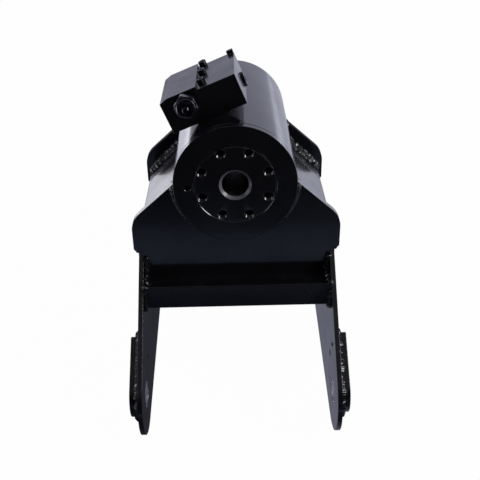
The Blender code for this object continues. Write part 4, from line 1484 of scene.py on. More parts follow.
    def cartridge(self) -> Piece:
        """The cartridge: its body in the block, its hexagon and the round collar in front of it.

        Returns:
            The cartridge about the Y axis.
        """
        end = self.front - GAP - self.barrel
        start = end - self.cartridge_hexagon
        hexagon = hex_bar("cartridge", self.cartridge_half, start, end)
        self.chamfer_hexagon(hexagon, self.cartridge_half, start, end)
        cut(hexagon, bar("core", 7.9, start - OVER, end + OVER, MEDIUM))
        inside = self.front + self.cavity[1] - GAP
        profile = [(0.0, inside), (9.4, inside), (10.0, inside - 0.6), (10.0, end - 0.4)]
        profile += [(8.0, end - 0.4), (8.0, start + 0.2), (10.6, start + 0.2), (10.6, start - 0.4)]
        profile += [(11.4, start - 0.9), (11.4, start - 2.2), (10.8, start - 3.0), (5.6, start - 3.0)]
        profile += [(4.3, start - 1.7), (4.3, self.front + 9.3), (0.0, self.front + 9.3)]
        stem = turned("stem", profile, MEDIUM * 2, closed=False)
        return joined("cartridge", broken_edges(hexagon, 0.25, 2, 35), stem)

    @staticmethod
    def chamfer_hexagon(hexagon: Piece, half: float, start: float, end: float) -> None:
        """Turns the corners of a hexagon's front face down to a circle, as on a nut.

        Args:
            hexagon: The hexagon bar along Y.
            half: Half its width across flats.
            start: Where its front face is along Y.
            end: Where its rear face is.
        """
        corner = half / math.cos(math.pi / 6)
        depth = (corner - half) * math.tan(math.radians(35))
        reach = end + OVER
        profile = [
            (half - 0.3, start - OVER), (corner + 6.0, start - OVER), (corner + 6.0, reach),
            (corner + 0.4, reach), (corner + 0.4, start + depth + 0.3), (half - 0.3, start - 0.001)]
        cut(hexagon, turned("corner tool", profile, MEDIUM * 2))

    def lock_nut(self) -> Piece:
        """The nut that locks the adjuster.

        Returns:
            The nut about the Y axis.
        """
        end = self.front - self.barrel - self.nut_rear
        start = end - self.nut_thickness
        nut = hex_bar("nut", self.nut_half, start, end)
        self.chamfer_hexagon(nut, self.nut_half, start, end)
        cut(nut, bar("bore", 4.3, start - OVER, end + OVER))
        return broken_edges(nut, 0.25, 2, 35)

    def adjuster(self) -> Piece:
        """The threaded adjusting screw with its hexagon socket.

        Returns:
            The screw about the Y axis.
        """
        tip = self.front - self.barrel - self.screw_reach
        end = tip + self.screw_length
        core = self.screw_core
        profile = [(0.0, tip), (core - 0.6, tip), (core, tip + 0.6), (core, end), (0.0, end)]
        screw = turned("adjuster", profile, MEDIUM, closed=False)
        cut(screw, hex_bar("socket", self.screw_socket, tip - OVER, tip + 4.0))
        ridge = thread_ridge("ridge", core - 0.06, 4.0, 1.25, 7, tip + 0.7)
        return joined("adjuster", screw, ridge)


# Bracket


@dataclass
class Bracket:
    """The welded clevis bracket: saddles, top plate, folded plates, side plates, bosses and cross tube."""

    tube_radius: float = 75.3
    saddle_thickness: float = 10.0
    saddle_starts: Span = (15.0, 221.0)
    half_width: float = 131.0
    skirt: float = 118.95
    saddle_top: float = 6.0
    slope: float = 42.0
    slope_corner: float = -53.75
    shoulder: float = 31.5
    shoulder_bottom: float = -97.5
    saddle_bottom: float = -133.9
    corner: float = 4.0
    side_inner: float = 119.25
    side_outer: float = 125.25
    front_edge: float = 44.2
    lower_edge: float = 10.0
    eye: Span = (-71.3, -259.5)
    eye_radius: float = 50.55
    rear: float = 232.0
    pin_hole: float = 17.0
    keeper_hole: float = 4.5
    keeper_offset: float = 48.7
    boss_span: Span = (125.55, 138.25)
    boss_radius: float = 28.0
    boss_length: float = 69.0
    boss_angle: float = 37.3
    web: float = 6.0
    web_slope: float = 44.0
    web_bend: float = -80.6
    web_reach: float = 66.0
    plate_top: float = -97.0
    plate_thickness: float = 8.0
    cross_y: Span = (-14.04, 25.96)
    cross_z: Span = (-166.2, -134.2)
    cross_corner: float = 1.6
    cross_wall: float = 4.0

    @property
    def bay(self) -> Span:
        """Where the room between the saddles starts and ends along the shaft."""
        return self.saddle_starts[0] + self.saddle_thickness, self.saddle_starts[1]

    def saddle_faces(self) -> list[tuple[float, int]]:
        """Where each face of the saddles is along the shaft, and which way it looks."""
        faces = ((0.0, -1), (self.saddle_thickness, 1))
        return [(start + depth, way) for start in self.saddle_starts for depth, way in faces]

    def build(self) -> None:
        """Makes every plate of the bracket."""
        saddle = self.saddle()
        for word, y in zip(("front", "rear"), self.saddle_starts):
            name = f"{word}_cradle"
            piece = copied(saddle, name, shifted(0.0, y, 0.0))
            if word == "rear":
                paint_faces(piece, (PLATE_PAINT, CUT_EDGE_PAINT), self.cut_edge_finish)
            settle(piece, name, PLATE_PAINT, nodes=[f"{word}_saddle"])
        discard(saddle)
        settle(self.top_plate(), "deck_plate", PLATE_PAINT, nodes=["top_plate"])
        leg, boss, web = self.leg(), self.boss(), self.slope_plate()
        pairs = (
            (web, "web", "slope_plate", HEATED_PAINT), (leg, "leg", "side_plate", PLATE_PAINT),
            (boss, "boss", "pin_boss", PLATE_PAINT))
        for side in Side:
            for model, word, node, finish in pairs:
                name = f"{side.word}_{word}"
                piece = copied(model, name, Matrix.Diagonal((side.value, 1, 1, 1)))
                settle(piece, name, finish, nodes=[f"{side.word}_{node}"])
        discard(leg, boss, web)
        settle(self.cross_tube(), "square_cross_tube", TUBE_PAINT, nodes=["cross_tube"])

    def saddle(self) -> Piece:
        """A saddle plate with its front face at y = 0.

        Returns:
            The plate, cut out for the housing.
        """
        slope = math.radians(self.slope)
        top_x = self.half_width - (self.saddle_top - self.slope_corner) / math.tan(slope)
        set_back = self.shoulder * math.tan((math.pi / 2 - slope) / 2)
        shoulder = (self.half_width - self.shoulder, self.slope_corner - set_back)
        foot = (self.half_width - self.corner, self.shoulder_bottom + self.corner)
        right = [(self.skirt, self.saddle_bottom), (self.skirt, self.shoulder_bottom)]
        right += arc(foot, self.corner, -90, 0, 8)
        right += arc(shoulder, self.shoulder, 0, 90 - self.slope, 16)
        right += [(top_x, self.saddle_top)]
        outline = right + [(-x, z) for x, z in reversed(right)]
        saddle = plate("saddle", outline, "Y", 0.0, self.saddle_thickness)
        cut(saddle, bar("cradle", self.tube_radius, -OVER, self.saddle_thickness + OVER, FINE))
        return broken_edges(saddle, 0.7, 3)

    @staticmethod
    def cut_edge_finish(_: Vector, normal: Vector) -> Finish:
        """The finish of a saddle's face: duller on the edges where the plate was cut out."""
        return CUT_EDGE_PAINT if abs(normal.y) < 0.8 else PLATE_PAINT

    def top_plate(self) -> Piece:
        """The plate between the saddles, on which the folded plates stand.

        Returns:
            The plate.
        """
        start, end = self.bay
        low = (-self.side_outer, start + GAP, self.plate_top - self.plate_thickness)
        high = (self.side_outer, end - GAP, self.plate_top)
        return broken_edges(block("top plate", low, high), 0.6, 3)

    def slope_line(self, x: float) -> float:
        """The height of the right folded plate's outer face at that x."""
        return self.web_bend + (self.side_outer - x) * math.tan(math.radians(self.web_slope))

    def slope_plate(self) -> Piece:
        """The right folded plate: a foot on the top plate's edge, and a slope up to the housing.

        Returns:
            The plate, cut out for the housing.
        """
        slope = math.radians(self.web_slope)
        drop = self.web / math.cos(slope)
        fold = self.side_outer - 3.0
        top = self.slope_line(self.web_reach)
        outline = [
            (self.side_inner, self.plate_top + GAP), (self.side_outer, self.plate_top + GAP),
            (self.side_outer, self.web_bend - 1.8), (self.side_outer - 0.9, self.web_bend + 0.3),
            (fold, self.slope_line(fold)), (self.web_reach, top), (self.web_reach, top - drop),
            (self.side_inner, self.slope_line(self.side_inner) - drop)]
        start, end = self.bay[0] + GAP, self.bay[1] - GAP
        web = plate("web", outline, "Y", start, end)
        cut(web, bar("cradle", self.tube_radius, start - OVER, end + OVER, FINE))
        return broken_edges(web, 0.4, 3, 40)

    def leg_outline(self) -> Outline:
        """The (y, z) outline of a side plate.

        Returns:
            Its points, from the front tab down round the eye and back along the lower edge.
        """
        front, lower = math.radians(self.front_edge), math.radians(self.lower_edge)
        eye_y, eye_z = self.eye
        touch_y = eye_y - self.eye_radius * math.sin(front)
        touch_z = eye_z + self.eye_radius * math.cos(front)
        start = self.saddle_starts[0]
        front_z = touch_z + (start - touch_y) * math.tan(front)
        low_y = eye_y + self.eye_radius * math.sin(lower)
        low_z = eye_z - self.eye_radius * math.cos(lower)
        rear_z = low_z + (self.rear - low_y) * math.tan(lower)
        tab = self.shoulder_bottom - GAP
        ledge = self.plate_top - self.plate_thickness - GAP
        front_tab, rear_tab = self.bay
        points = [(start, tab), (start, front_z)]
        points += arc(self.eye, self.eye_radius, 90 + self.front_edge, 270 + self.lower_edge, 64)
        points += [(self.rear, rear_z), (self.rear, tab), (rear_tab, tab), (rear_tab, ledge)]
        return points + [(front_tab, ledge), (front_tab, tab)]

    def drilled(self, obj: Piece, edge: float) -> Piece:
        """Drills the pin's and the keeper's holes through a plate of the right side, and finishes it.

        Args:
            obj: The plate.
            edge: The width of its broken edges.

        Returns:
            The same plate.
        """
        keeper = self.along_boss(self.keeper_offset)
        for name, radius, place in (("pin", self.pin_hole, self.eye), ("keeper", self.keeper_hole, keeper)):
            sides = FINE // 2 if radius > 10 else MEDIUM
            drill = bar(name, radius, self.side_inner - OVER, self.boss_span[1] + OVER, sides)
            cut(obj, placed(drill, shifted(0.0, *place) @ SIDEWAYS))
        broken_edges(obj, edge, 3)
        paint_faces(obj, (PLATE_PAINT, PIN_STEEL), self.pin_bore_finish)
        return obj

    def along_boss(self, distance: float, across: float = 0.0) -> Span:
        """A (y, z) point at that distance from the pin along the boss, and across it."""
        turn = math.radians(self.boss_angle)
        y = self.eye[0] + distance * math.cos(turn) - across * math.sin(turn)
        return y, self.eye[1] + distance * math.sin(turn) + across * math.cos(turn)

    def leg(self) -> Piece:
        """The right side plate with its holes."""
        return self.drilled(plate("leg", self.leg_outline(), "X", self.side_inner, self.side_outer), 0.5)

    def boss_outline(self, grow: float = 0.0) -> Outline:
        """The (y, z) outline of a pin boss, with its far corners rounded.

        Args:
            grow: How far outside the boss the outline runs.

        Returns:
            Its points.
        """
        radius, rounding, turn = self.boss_radius + grow, 3.0 + grow, self.boss_angle
        far = self.boss_length + grow - rounding
        points = arc(self.eye, radius, 90 + turn, 270 + turn, 48)
        points += arc(self.along_boss(far, rounding - radius), rounding, turn - 90, turn, 6)
        return points + arc(self.along_boss(far, radius - rounding), rounding, turn, turn + 90, 6)

    def boss(self) -> Piece:
        """The right pin boss: a thick plate with its holes."""
        return self.drilled(plate("boss", self.boss_outline(), "X", *self.boss_span), 0.9)

    def pin_bore_finish(self, middle: Vector, normal: Vector) -> Finish:
        """The finish of a face: bare steel on the pin bore's wall, paint elsewhere."""
        radius = math.hypot(middle.y - self.eye[0], middle.z - self.eye[1])
        return PIN_STEEL if radius < self.pin_hole + 0.2 and abs(normal.x) < 0.5 else PLATE_PAINT

    def tube_outline(self, inset: float) -> Outline:
        """The (y, z) outline of the cross tube.

        Args:
            inset: How far inside its outer face the outline runs.

        Returns:
            Its points.
        """
        corner = max(self.cross_corner - inset, 1.0)
        y_low, y_high = self.cross_y[0] + inset + corner, self.cross_y[1] - inset - corner
        z_low, z_high = self.cross_z[0] + inset + corner, self.cross_z[1] - inset - corner
        centres = ((y_high, z_high), (y_low, z_high), (y_low, z_low), (y_high, z_low))
        corners = [arc(centre, corner, 90 * i, 90 * i + 90, 8) for i, centre in enumerate(centres)]
        return [point for points in corners for point in points]

    def cross_tube(self) -> Piece:
        """The square tube between the side plates.

        Returns:
            The hollow tube.
        """
        tube = plate("cross tube", self.tube_outline(0.0), "X", -self.skirt, self.skirt)
        reach = self.skirt + OVER
        return cut(tube, plate("tube bore", self.tube_outline(self.cross_wall), "X", -reach, reach))


# Welds


@dataclass
class Seam:
    """The line of a weld, with the way its crown faces at each point."""

    points: list[Vector]
    crowns: list[Vector]
    radius: float
    wander: float = 0.25
    closed: bool = False
    lumps: float = 0.14

    def sampled(self, step: float) -> Run:
        """The seam in equal short steps.

        Args:
            step: The length of a step.

        Returns:
            The points, the crowns and the distance along the seam of each.
        """
        points = self.points + self.points[:1] if self.closed else self.points
        crowns = self.crowns + self.crowns[:1] if self.closed else self.crowns
        lengths = [0.0]
        for first, second in zip(points, points[1:]):
            lengths.append(lengths[-1] + (second - first).length)
        count = max(3, round(lengths[-1] / step))
        places = [lengths[-1] * i / count for i in range(count if self.closed else count + 1)]
        found, ways, leg = [], [], 0
        for place in places:
            while leg < len(lengths) - 2 and lengths[leg + 1] < place:
                leg += 1
            share = (place - lengths[leg]) / max(lengths[leg + 1] - lengths[leg], 1e-9)
            found.append(points[leg].lerp(points[leg + 1], share))
            ways.append(crowns[leg].lerp(crowns[leg + 1], share).normalized())
        return found, ways, places


@dataclass
class WeldShop:
    """Lays beads along seams: a rod of weld metal with scales, as each drop of the pool froze."""

    step: float = 0.55
    scale_pitch: float = 2.3
    scale_height: float = 0.11
    bow: float = 0.5
    peak: float = 0.8
    resolution: int = 2
    sway_rate: float = 0.09
    swell_rate: float = 0.16
    uneven_rate: float = 0.12
    lump_rate: float = 0.38

    def bead(self, name: str, seam: Seam, seed: float) -> Piece:
        """Lays one bead.

        Args:
            name: The bead's name.
            seam: Where it runs.
            seed: Makes its wander its own.

        Returns:
            The bead.
        """
        points, crowns, places = run = seam.sampled(self.step)
        deselect()
        bpy.ops.curve.primitive_nurbs_path_add(location=(0.0, 0.0, 0.0))
        obj = bpy.context.object
        obj.name = name
        curve = obj.data
        curve.splines.clear()
        spline = curve.splines.new("POLY")
        spline.points.add(len(points) - 1)
        for i, (point, crown) in enumerate(zip(points, crowns)):
            sway = noise.noise(Vector((places[i] * self.sway_rate, seed, 0.0))) * seam.wander
            lift = noise.noise(Vector((places[i] * self.swell_rate, seed, 5.0))) * seam.wander * 0.6
            tangent = points[min(i + 1, len(points) - 1)] - points[max(i - 1, 0)]
            side = tangent.normalized().cross(crown)
            at = point + side * sway + crown * lift
            spline.points[i].co = (*at, 1.0)
            fat = noise.noise(Vector((places[i] * self.swell_rate, seed, 9.0)))
            swell = 1.0 + 0.6 * seam.wander * fat
            if not seam.closed:
                nearest = min(places[i], places[-1] - places[i]) / seam.radius
                swell *= min(1.0, 0.55 + 0.45 * math.sqrt(max(nearest, 0.0)))
            spline.points[i].radius = swell
        spline.use_cyclic_u = seam.closed
        curve.dimensions = "3D"
        curve.twist_mode = "MINIMUM"
        curve.bevel_depth = seam.radius
        curve.bevel_resolution = self.resolution
        curve.use_fill_caps = not seam.closed
        take(obj)
        bpy.ops.object.convert(target="MESH")
        obj = bpy.context.object
        self.scale(obj, run, seam.lumps, seed)
        return tidy_normals(obj)

    def scale(self, obj: Piece, run: Run, lumps: float, seed: float) -> None:
        """Raises the bowed scales on a bead, ring by ring.

        Args:
            obj: The bead's mesh, whose rings follow the run.
            run: The middle of each ring, the way its crown faces, and how far along the seam it is.
            lumps: How lumpy the bead is.
            seed: Makes the scales uneven in their own way.
        """
        points, crowns, places = run
        ring = len(obj.data.vertices) // len(points)
        for i, vert in enumerate(obj.data.vertices):
            at = min(i // ring, len(points) - 1)
            spoke = vert.co - points[at]
            facing = spoke.normalized().dot(crowns[at])
            along = places[at] / self.scale_pitch - self.bow * (1.0 - facing)
            along += 0.5 * noise.noise(Vector((places[at] * self.uneven_rate, seed, 2.0)))
            share = along - math.floor(along)
            if share < self.peak:
                raised = math.sqrt(share)
            else:
                raised = math.sqrt(self.peak) * (1.0 - share) / (1.0 - self.peak)
            lump = noise.noise(vert.co * self.lump_rate) * lumps
            vert.co = points[at] + spoke * (1.0 + self.scale_height * (raised - 0.5) + lump)

    def lay(self, name: str, seams: Sequence[Seam], finish: Finish = WELD_PAINT) -> None:
        """Lays several beads as one piece."""
        beads = [self.bead(f"bead {i}", seam, 3.7 * i + len(name)) for i, seam in enumerate(seams)]
        settle(joined(name, *beads), name, finish)


@dataclass
class Welds:
    """Every weld of the bracket."""

    bracket: Bracket
    shop: WeldShop = field(default_factory=WeldShop)
    ring_offset: float = 2.2
    ring_bead: float = 4.4
    ring_steps: int = 60
    seam_bead: float = 2.8
    run_bead: float = 2.24
    run_wander: float = 0.15
    clear: float = 3.0
    slope_passes: tuple[Triple, ...] = ((4.4, 1.4, 3.4), (0.9, 7.0, 4.3))
    slope_top: float = 70.6
    slope_foot: float = 1.5
    slope_wander: float = 0.7
    slope_lumps: float = 0.24
    skirt_bead: float = 5.0
    skirt_top: float = -106.0
    skirt_wander: float = 0.5
    shoulder_bead: float = 3.6
    shoulder_wander: float = 0.9
    tube_bead: float = 4.2
    tube_offset: float = 1.1
    tube_wander: float = 0.6
    boss_bead: float = 5.2
    boss_offset: float = 1.2
    boss_lift: float = 1.4
    boss_wander: float = 1.3

    def build(self) -> None:
        """Lays the beads, group by group."""
        self.shop.lay("saddle_ring_welds", self.rings(), WING_WELD_PAINT)
        self.shop.lay("deck_seam_welds", self.deck_seams())
        self.shop.lay("slope_welds", self.slopes(), WING_WELD_PAINT)
        self.shop.lay("skirt_welds", self.skirts())
        self.shop.lay("shoulder_welds", self.shoulders())
        self.shop.lay("cross_tube_welds", self.tube_ends())
        self.shop.lay("boss_welds", self.bosses())

    def straight(self, start: Point, end: Point, crown: Point, radius: float, wander: float = 0.25) -> Seam:
        """A straight seam.

        Args:
            start: Its first point, in the corner between the plates.
            end: Its last point.
            crown: The way between the two plates' faces.
            radius: The bead's radius.
            wander: How much the bead wanders.

        Returns:
            The seam, a little way out of the corner.
        """
        way = Vector(crown).normalized()
        out = way * radius * 0.45
        return Seam([Vector(start) + out, Vector(end) + out], [way, way], radius, wander)

    def rings(self) -> list[Seam]:
        """The even fillets under the housing, on both faces of both saddles.

        Returns:
            One seam for each face.
        """
        seams = []
        for y, way in self.bracket.saddle_faces():
            points, crowns = [], []
            for i in range(self.ring_steps + 1):
                turn = math.radians(-5.0 - 170.0 * i / self.ring_steps)
                out = Vector((math.cos(turn), 0.0, math.sin(turn)))
                aside = Vector((0.0, y + way * self.ring_offset, 0.0))
                points.append(out * (Housing.radius + self.ring_offset) + aside)
                crowns.append((out + Vector((0.0, way, 0.0))).normalized())
            seams.append(Seam(points, crowns, self.ring_bead, self.run_wander, lumps=0.05))
        return seams

    def deck_seams(self) -> list[Seam]:
        """The seams between the top plate and the saddles, and along the side plates.

        Returns:
            Two seams across, and two along each side.
        """
        bracket = self.bracket
        front, rear = bracket.bay
        start, end = front + self.clear, rear - self.clear
        reach = bracket.side_outer - 8.0
        under = bracket.plate_top - bracket.plate_thickness
        seams = [
            self.straight((-reach, front, under), (reach, front, under), (0, 1, -1), self.seam_bead),
            self.straight((reach, rear, under), (-reach, rear, under), (0, -1, -1), self.seam_bead)]
        for side in Side:
            way, x = side.value, side.value * bracket.side_inner
            seams.append(self.straight((x, start, under), (x, end, under), (-way, 0, -1), self.seam_bead))
            x = way * (bracket.side_outer - 0.6)
            ends = ((x, start, under), (x, end, under))
            seams.append(self.straight(*ends, (way, 0, 0), self.run_bead, self.run_wander))
        return seams

    def slopes(self) -> list[Seam]:
        """The folded plates' seams: two heavy passes on each saddle, one on the housing, one at the foot.

        Returns:
            Six seams for each side.
        """
        bracket = self.bracket
        front, rear = bracket.bay
        slope = math.radians(bracket.web_slope)
        foot_x, top_x = bracket.side_outer - self.slope_foot, self.slope_top
        foot_z, top_z = bracket.slope_line(foot_x), bracket.slope_line(top_x)
        seams = []
        for side in Side:
            way = side.value
            facing = Vector((way * math.sin(slope), 0.0, math.cos(slope)))
            for y, inwards in ((front, 1), (rear, -1)):
                crown = (facing + Vector((0.0, inwards, 0.0))).normalized()
                start, end = Vector((way * foot_x, y, foot_z)), Vector((way * top_x, y, top_z))
                for lift, out, radius in self.slope_passes:
                    aside = facing * lift + Vector((0.0, inwards * out, 0.0))
                    seams.append(Seam(
                        [start + aside, end + aside], [crown, crown], radius, self.slope_wander,
                        lumps=self.slope_lumps))
            crown = facing + Vector((way, 0.0, top_z / top_x)).normalized()
            foot = way * (bracket.side_outer - 1.6)
            runs = (
                (way * top_x, top_z, crown, self.seam_bead, 0.4),
                (foot, bracket.plate_top, (way, 0, 0), self.run_bead, self.run_wander))
            for x, z, crown, radius, wander in runs:
                ends = ((x, front + self.clear, z), (x, rear - self.clear, z))
                seams.append(self.straight(*ends, crown, radius, wander))
        return seams

    def skirts(self) -> list[Seam]:
        """The upright seams between the saddles' skirts and the side plates.

        Returns:
            Eight seams.
        """
        seams = []
        for y, way in self.bracket.saddle_faces():
            for side in Side:
                x = side.value * self.bracket.side_inner
                ends = ((x, y, self.skirt_top), (x, y, self.bracket.saddle_bottom))
                crown = (-side.value, way, 0)
                seams.append(self.straight(*ends, crown, self.skirt_bead, self.skirt_wander))
        return seams

    def shoulders(self) -> list[Seam]:
        """The short beads between the side plates' tabs and the undersides of the saddles' shoulders.

        Returns:
            Four seams.
        """
        bracket = self.bracket
        seams = []
        for start in bracket.saddle_starts:
            end = start + bracket.saddle_thickness
            for side in Side:
                x, z = side.value * bracket.side_outer, bracket.shoulder_bottom
                ends = ((x, start + 1, z), (x, end - 1, z))
                crown = (side.value, 0, -1)
                seams.append(self.straight(*ends, crown, self.shoulder_bead, self.shoulder_wander))
        return seams

    @staticmethod
    def around(outline: Outline, middle: Point, x: float, way: int, radius: float, wander: float) -> Seam:
        """A closed seam round an outline, on a face of a side plate.

        Args:
            outline: Its (y, z) points.
            middle: The (y, z) point that its crown faces away from.
            x: Where it lies across the bracket.
            way: Which way along X the plate's face looks.
            radius: The bead's radius.
            wander: How much the bead wanders.

        Returns:
            The seam.
        """
        points = [Vector((x, y, z)) for y, z in outline]
        centre, face = Vector((x, *middle)), Vector((way, 0.0, 0.0))
        crowns = [((point - centre).normalized() + face).normalized() for point in points]
        return Seam(points, crowns, radius, wander, closed=True)

    def tube_ends(self) -> list[Seam]:
        """The seams round the cross tube's ends, on the side plates' inner faces.

        Returns:
            One closed seam for each end.
        """
        bracket = self.bracket
        outline = bracket.tube_outline(-self.tube_offset)
        middle = (sum(bracket.cross_y) / 2, sum(bracket.cross_z) / 2)
        x = bracket.side_inner - self.tube_offset
        return [
            self.around(outline, middle, side.value * x, -side.value, self.tube_bead, self.tube_wander)
            for side in Side]

    def bosses(self) -> list[Seam]:
        """The seams round the pin bosses, on the side plates' outer faces: hand-laid and uneven.

        Returns:
            One closed seam for each boss.
        """
        bracket = self.bracket
        outline = bracket.boss_outline(self.boss_offset)
        middle = bracket.along_boss(bracket.boss_length / 3)
        x = bracket.side_outer + self.boss_lift
        return [
            self.around(outline, middle, side.value * x, side.value, self.boss_bead, self.boss_wander)
            for side in Side]


# What stays as the CAD has it


@dataclass(frozen=True)
class InnerWorks:
    """The pieces inside, whose CAD shapes are right: each gets its finish."""

    steel: tuple[str, ...] = ("ring_gear", "piston_sleeve")
    bronze: tuple[str, ...] = ("front_bearing", "rear_bearing", "front_thrust_washer", "rear_thrust_washer")
    rubber: tuple[str, ...] = (
        "piston_seal", "piston_shaft_seal", "front_shaft_seal", "rear_shaft_seal", "gland_o_ring")

    def dress(self) -> None:
        """Gives each node its material."""
        finishes = (TOOTH_STEEL, BEARING_BRONZE, SEAL_RUBBER)
        for names, finish in zip((self.steel, self.bronze, self.rubber), finishes):
            for name in names:
                node = frame["nodes"][name]
                paint(node, finish)
                report(node)


# Studio


@dataclass(frozen=True)
class Softbox:
    """An area lamp that looks at the object."""

    name: str
    place: Triple
    size: Span
    radiance: float
    colour: Triple = (0.94, 0.95, 1.0)
    target: Triple = (0.0, 0.0, 0.22)

    def hang(self) -> None:
        """Hangs the lamp, turned to its target."""
        deselect()
        bpy.ops.object.light_add(type="AREA", location=self.place)
        lamp = bpy.context.object
        lamp.name = self.name
        lamp.data.shape = "RECTANGLE"
        lamp.data.size, lamp.data.size_y = self.size
        lamp.data.energy = self.radiance * math.pi * self.size[0] * self.size[1]
        lamp.data.color = self.colour
        way = Vector(self.target) - Vector(self.place)
        lamp.rotation_euler = way.to_track_quat("-Z", "Y").to_euler()
        lamp.visible_camera = False


@dataclass
class Studio:
    """A pale floor with a painted reflection, and dim surroundings whose lit parts the gloss paint mirrors;
    two lamps and the camera.

    Each pair of places is where a part of the floor or of the sky starts to fade in or out, and where that
    ends; those of the sky are along the axes of a direction.
    """

    floor_front: float = -0.72
    floor_rear: float = 3.2
    floor_half: float = 2.4
    floor_tints: tuple[Colour, Colour] = ((0.78, 0.79, 0.82, 1.0), (0.82, 0.83, 0.86, 1.0))
    floor_glow: float = 0.985
    lens: float = 55.86
    camera_at: Triple = (-2.1, -803.55, 385.58)
    pitch: float = 29.85
    yaw: float = 0.46
    roll: float = -1.06
    band_far: Span = (-0.83, -0.65)
    band_near: Span = (-0.505, -0.465)
    rear_half: Span = (-0.30, -0.20)
    rear_left: Span = (-0.10, 0.05)
    lit_from: Span = (0.32, 0.6)
    to_left: Span = (-0.75, 0.1)
    outer_from: Span = (0.36, 0.55)
    distant_from: Span = (1.6, 2.1)
    # Levels of the painted shadow in the floor's reflection: in front close to the object, and on the left
    # behind it.
    near_level: float = 0.18
    left_level: float = 0.15
    sky_rear: Span = (-0.35, 0.25)
    sky_left: Span = (-0.56, -0.42)
    sky_top: Span = (0.6, 0.9)
    sky_high: Span = (0.62, 0.8)
    high_share: float = 0.85
    # Colours of the floor's painted reflection: front_shade and rear_shade for its painted shadow; the middle
    # and floor colours on either side for its painted light.
    front_shade: Colour = (0.17, 0.20, 0.31, 1.0)
    rear_shade: Colour = (0.20, 0.205, 0.265, 1.0)
    right_glow: Colour = (0.45, 0.46, 0.57, 1.0)
    right_middle: Colour = (0.50, 0.51, 0.62, 1.0)
    left_middle: Colour = (1.2, 1.2, 1.4, 1.0)
    left_dusk: Colour = (0.15, 0.155, 0.19, 1.0)
    right_floor: Colour = (0.90, 0.92, 1.10, 1.0)
    left_floor: Colour = (2.0, 1.98, 2.15, 1.0)
    dim: Colour = (0.02, 0.021, 0.027, 1.0)
    overhead: Colour = (0.12, 0.12, 0.14, 1.0)
    lamps: tuple[Softbox, ...] = (
        Softbox("right_window", (1.5, -0.45, 1.05), (0.6, 0.6), 15.0),
        Softbox("left_window", (-1.6, -0.5, 0.72), (0.9, 0.9), 1.5),
    )

    def build(self) -> None:
        """Sets up the studio."""
        self.floor()
        self.world()
        for lamp in self.lamps:
            lamp.hang()
        self.camera()
        bpy.context.scene.view_settings.view_transform = "Standard"

    def floor(self) -> None:
        """Lays the pale floor: plain white to the camera but for a trace of the object's shadow."""
        deselect()
        middle = (self.floor_front + self.floor_rear) / 2
        length = self.floor_rear - self.floor_front
        bpy.ops.mesh.primitive_plane_add(size=1.0, location=(0.0, middle, 0.0))
        floor = bpy.context.object
        floor.name = "floor"
        floor.scale = (2 * self.floor_half, length, 1.0)
        freeze()
        material = bpy.data.materials.new("pale floor")
        sheet = blank(material)
        where = sheet.node("ShaderNodeTexCoord").outputs["Object"]
        diffuse = sheet.node("ShaderNodeBsdfDiffuse")
        sheet.feed(diffuse.inputs["Color"], sheet.tint(sheet.noise(where, 9.0, 3.0), *self.floor_tints))
        rays = sheet.node("ShaderNodeLightPath").outputs
        glossy = sheet.math("MAXIMUM", rays["Is Glossy Ray"], rays["Is Transmission Ray"])
        glow = sheet.node("ShaderNodeEmission")
        # Glossy and transmission rays see the floor glow in its painted reflection: painted shadow near the
        # object, painted light further out.
        sheet.feed(glow.inputs["Color"], sheet.tint(glossy, WHITE, self.mirrored(sheet, where)))
        mix = sheet.node("ShaderNodeMixShader")
        seen = sheet.math("MULTIPLY", rays["Is Camera Ray"], self.floor_glow)
        sheet.feed(mix.inputs[0], sheet.math("MAXIMUM", seen, glossy))
        sheet.feed(mix.inputs[1], diffuse.outputs[0])
        sheet.feed(mix.inputs[2], glow.outputs[0])
        sheet.feed(sheet.node("ShaderNodeOutputMaterial").inputs["Surface"], mix.outputs[0])
        floor.data.materials.append(material)

    def mirrored(self, sheet: Sheet, where: Socket) -> Socket:
        """The floor's painted reflection: the colour that it glows in for glossy rays.

        Close to the object it is painted shadow: a dim bluish band in front, and a field behind that is
        darker on the left. Further out, behind the object's front, it is painted light, brighter on the left.

        Args:
            sheet: The floor's node tree.
            where: The place on the floor.

        Returns:
            Its colour.
        """
        across, along, _ = sheet.split(where)
        far = sheet.spread(along, *self.band_far)
        near = sheet.spread(along, *self.band_near, 1.0, self.near_level)
        band = sheet.math("MULTIPLY", far, near)
        behind = sheet.spread(along, *self.rear_half)
        under = sheet.spread(across, *self.rear_left, self.left_level, 1.0)
        level = sheet.math("MAXIMUM", band, sheet.math("MULTIPLY", behind, under))
        # Painted shadow close to the object: a dim bluish band in front, and a field behind that is darker on
        # the left.
        painted_shadow = sheet.tint(level, DARK, sheet.tint(behind, self.front_shade, self.rear_shade))
        reach = sheet.node("ShaderNodeVectorMath", operation="LENGTH")
        sheet.feed(reach.inputs[0], where)
        away = reach.outputs["Value"]
        # Painted light further out, behind the object's front, brighter on the left.
        lit = sheet.math("MULTIPLY", sheet.spread(away, *self.lit_from), behind)
        outer = sheet.spread(sheet.math("ABSOLUTE", across), *self.outer_from)
        distant = sheet.spread(away, *self.distant_from)
        right = sheet.tint(outer, self.right_middle, self.right_floor)
        left = sheet.tint(outer, self.left_middle, self.left_floor)
        leftward = sheet.spread(across, *self.to_left, 1.0, 0.0)
        right = sheet.tint(distant, right, self.right_glow)
        left = sheet.tint(distant, left, self.left_dusk)
        return sheet.tint(lit, painted_shadow, sheet.tint(leftward, right, left))

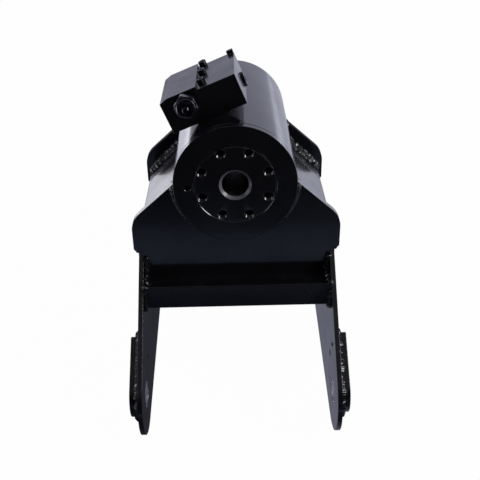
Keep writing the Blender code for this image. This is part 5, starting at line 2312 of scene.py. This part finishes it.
    def world(self) -> None:
        """Makes the surroundings: white to the camera; to the object, dim in front and brighter behind."""
        world = bpy.data.worlds.new("studio")
        bpy.context.scene.world = world
        sheet = blank(world)
        way = sheet.split(sheet.node("ShaderNodeTexCoord").outputs["Generated"])
        behind = sheet.spread(way["Y"], *self.sky_rear)
        leftward = sheet.spread(way["X"], *self.sky_left, 1.0, 0.0)
        front = sheet.tint(sheet.spread(way["Z"], *self.sky_top), self.dim, self.overhead)
        rear = sheet.tint(behind, front, sheet.tint(leftward, self.right_glow, self.left_dusk))
        colour = sheet.tint(sheet.spread(way["Z"], *self.sky_high, 0.0, self.high_share), rear, front)
        seen = sheet.node("ShaderNodeLightPath").outputs["Is Camera Ray"]
        background = sheet.node("ShaderNodeBackground")
        sheet.feed(background.inputs["Color"], sheet.tint(seen, colour, WHITE))
        sheet.feed(sheet.node("ShaderNodeOutputWorld").inputs["Surface"], background.outputs[0])

    def camera(self) -> None:
        """Puts the camera where the photograph was taken from."""
        pitch, yaw, roll = (math.radians(angle) for angle in (self.pitch, self.yaw, self.roll))
        flat = math.cos(pitch)
        forward = Vector((math.sin(yaw) * flat, math.cos(yaw) * flat, -math.sin(pitch)))
        level = forward.cross(Vector((0.0, 0.0, 1.0))).normalized()
        upwards = level.cross(forward)
        right = level * math.cos(roll) + upwards * math.sin(roll)
        up = upwards * math.cos(roll) - level * math.sin(roll)
        turn = STAND.to_quaternion().to_matrix()
        axes = turn @ Matrix((right, up, -forward)).transposed()
        deselect()
        bpy.ops.object.camera_add(location=STAND @ Vector(self.camera_at))
        camera = bpy.context.object
        camera.rotation_euler = axes.to_euler()
        camera.data.lens = self.lens
        camera.data.sensor_width = 36.0
        camera.data.clip_start = 0.02
        bpy.context.scene.camera = camera


def main() -> None:
    """Builds the rotator's looks around the CAD frame."""
    logging.basicConfig(level=logging.INFO, format="%(message)s")
    make_groups()
    Studio().build()
    Housing().build()
    RotorShaft().build()
    ValveManifold().build()
    bracket = Bracket()
    bracket.build()
    Welds(bracket).build()
    InnerWorks().dress()


if __name__ == "__main__":
    main()
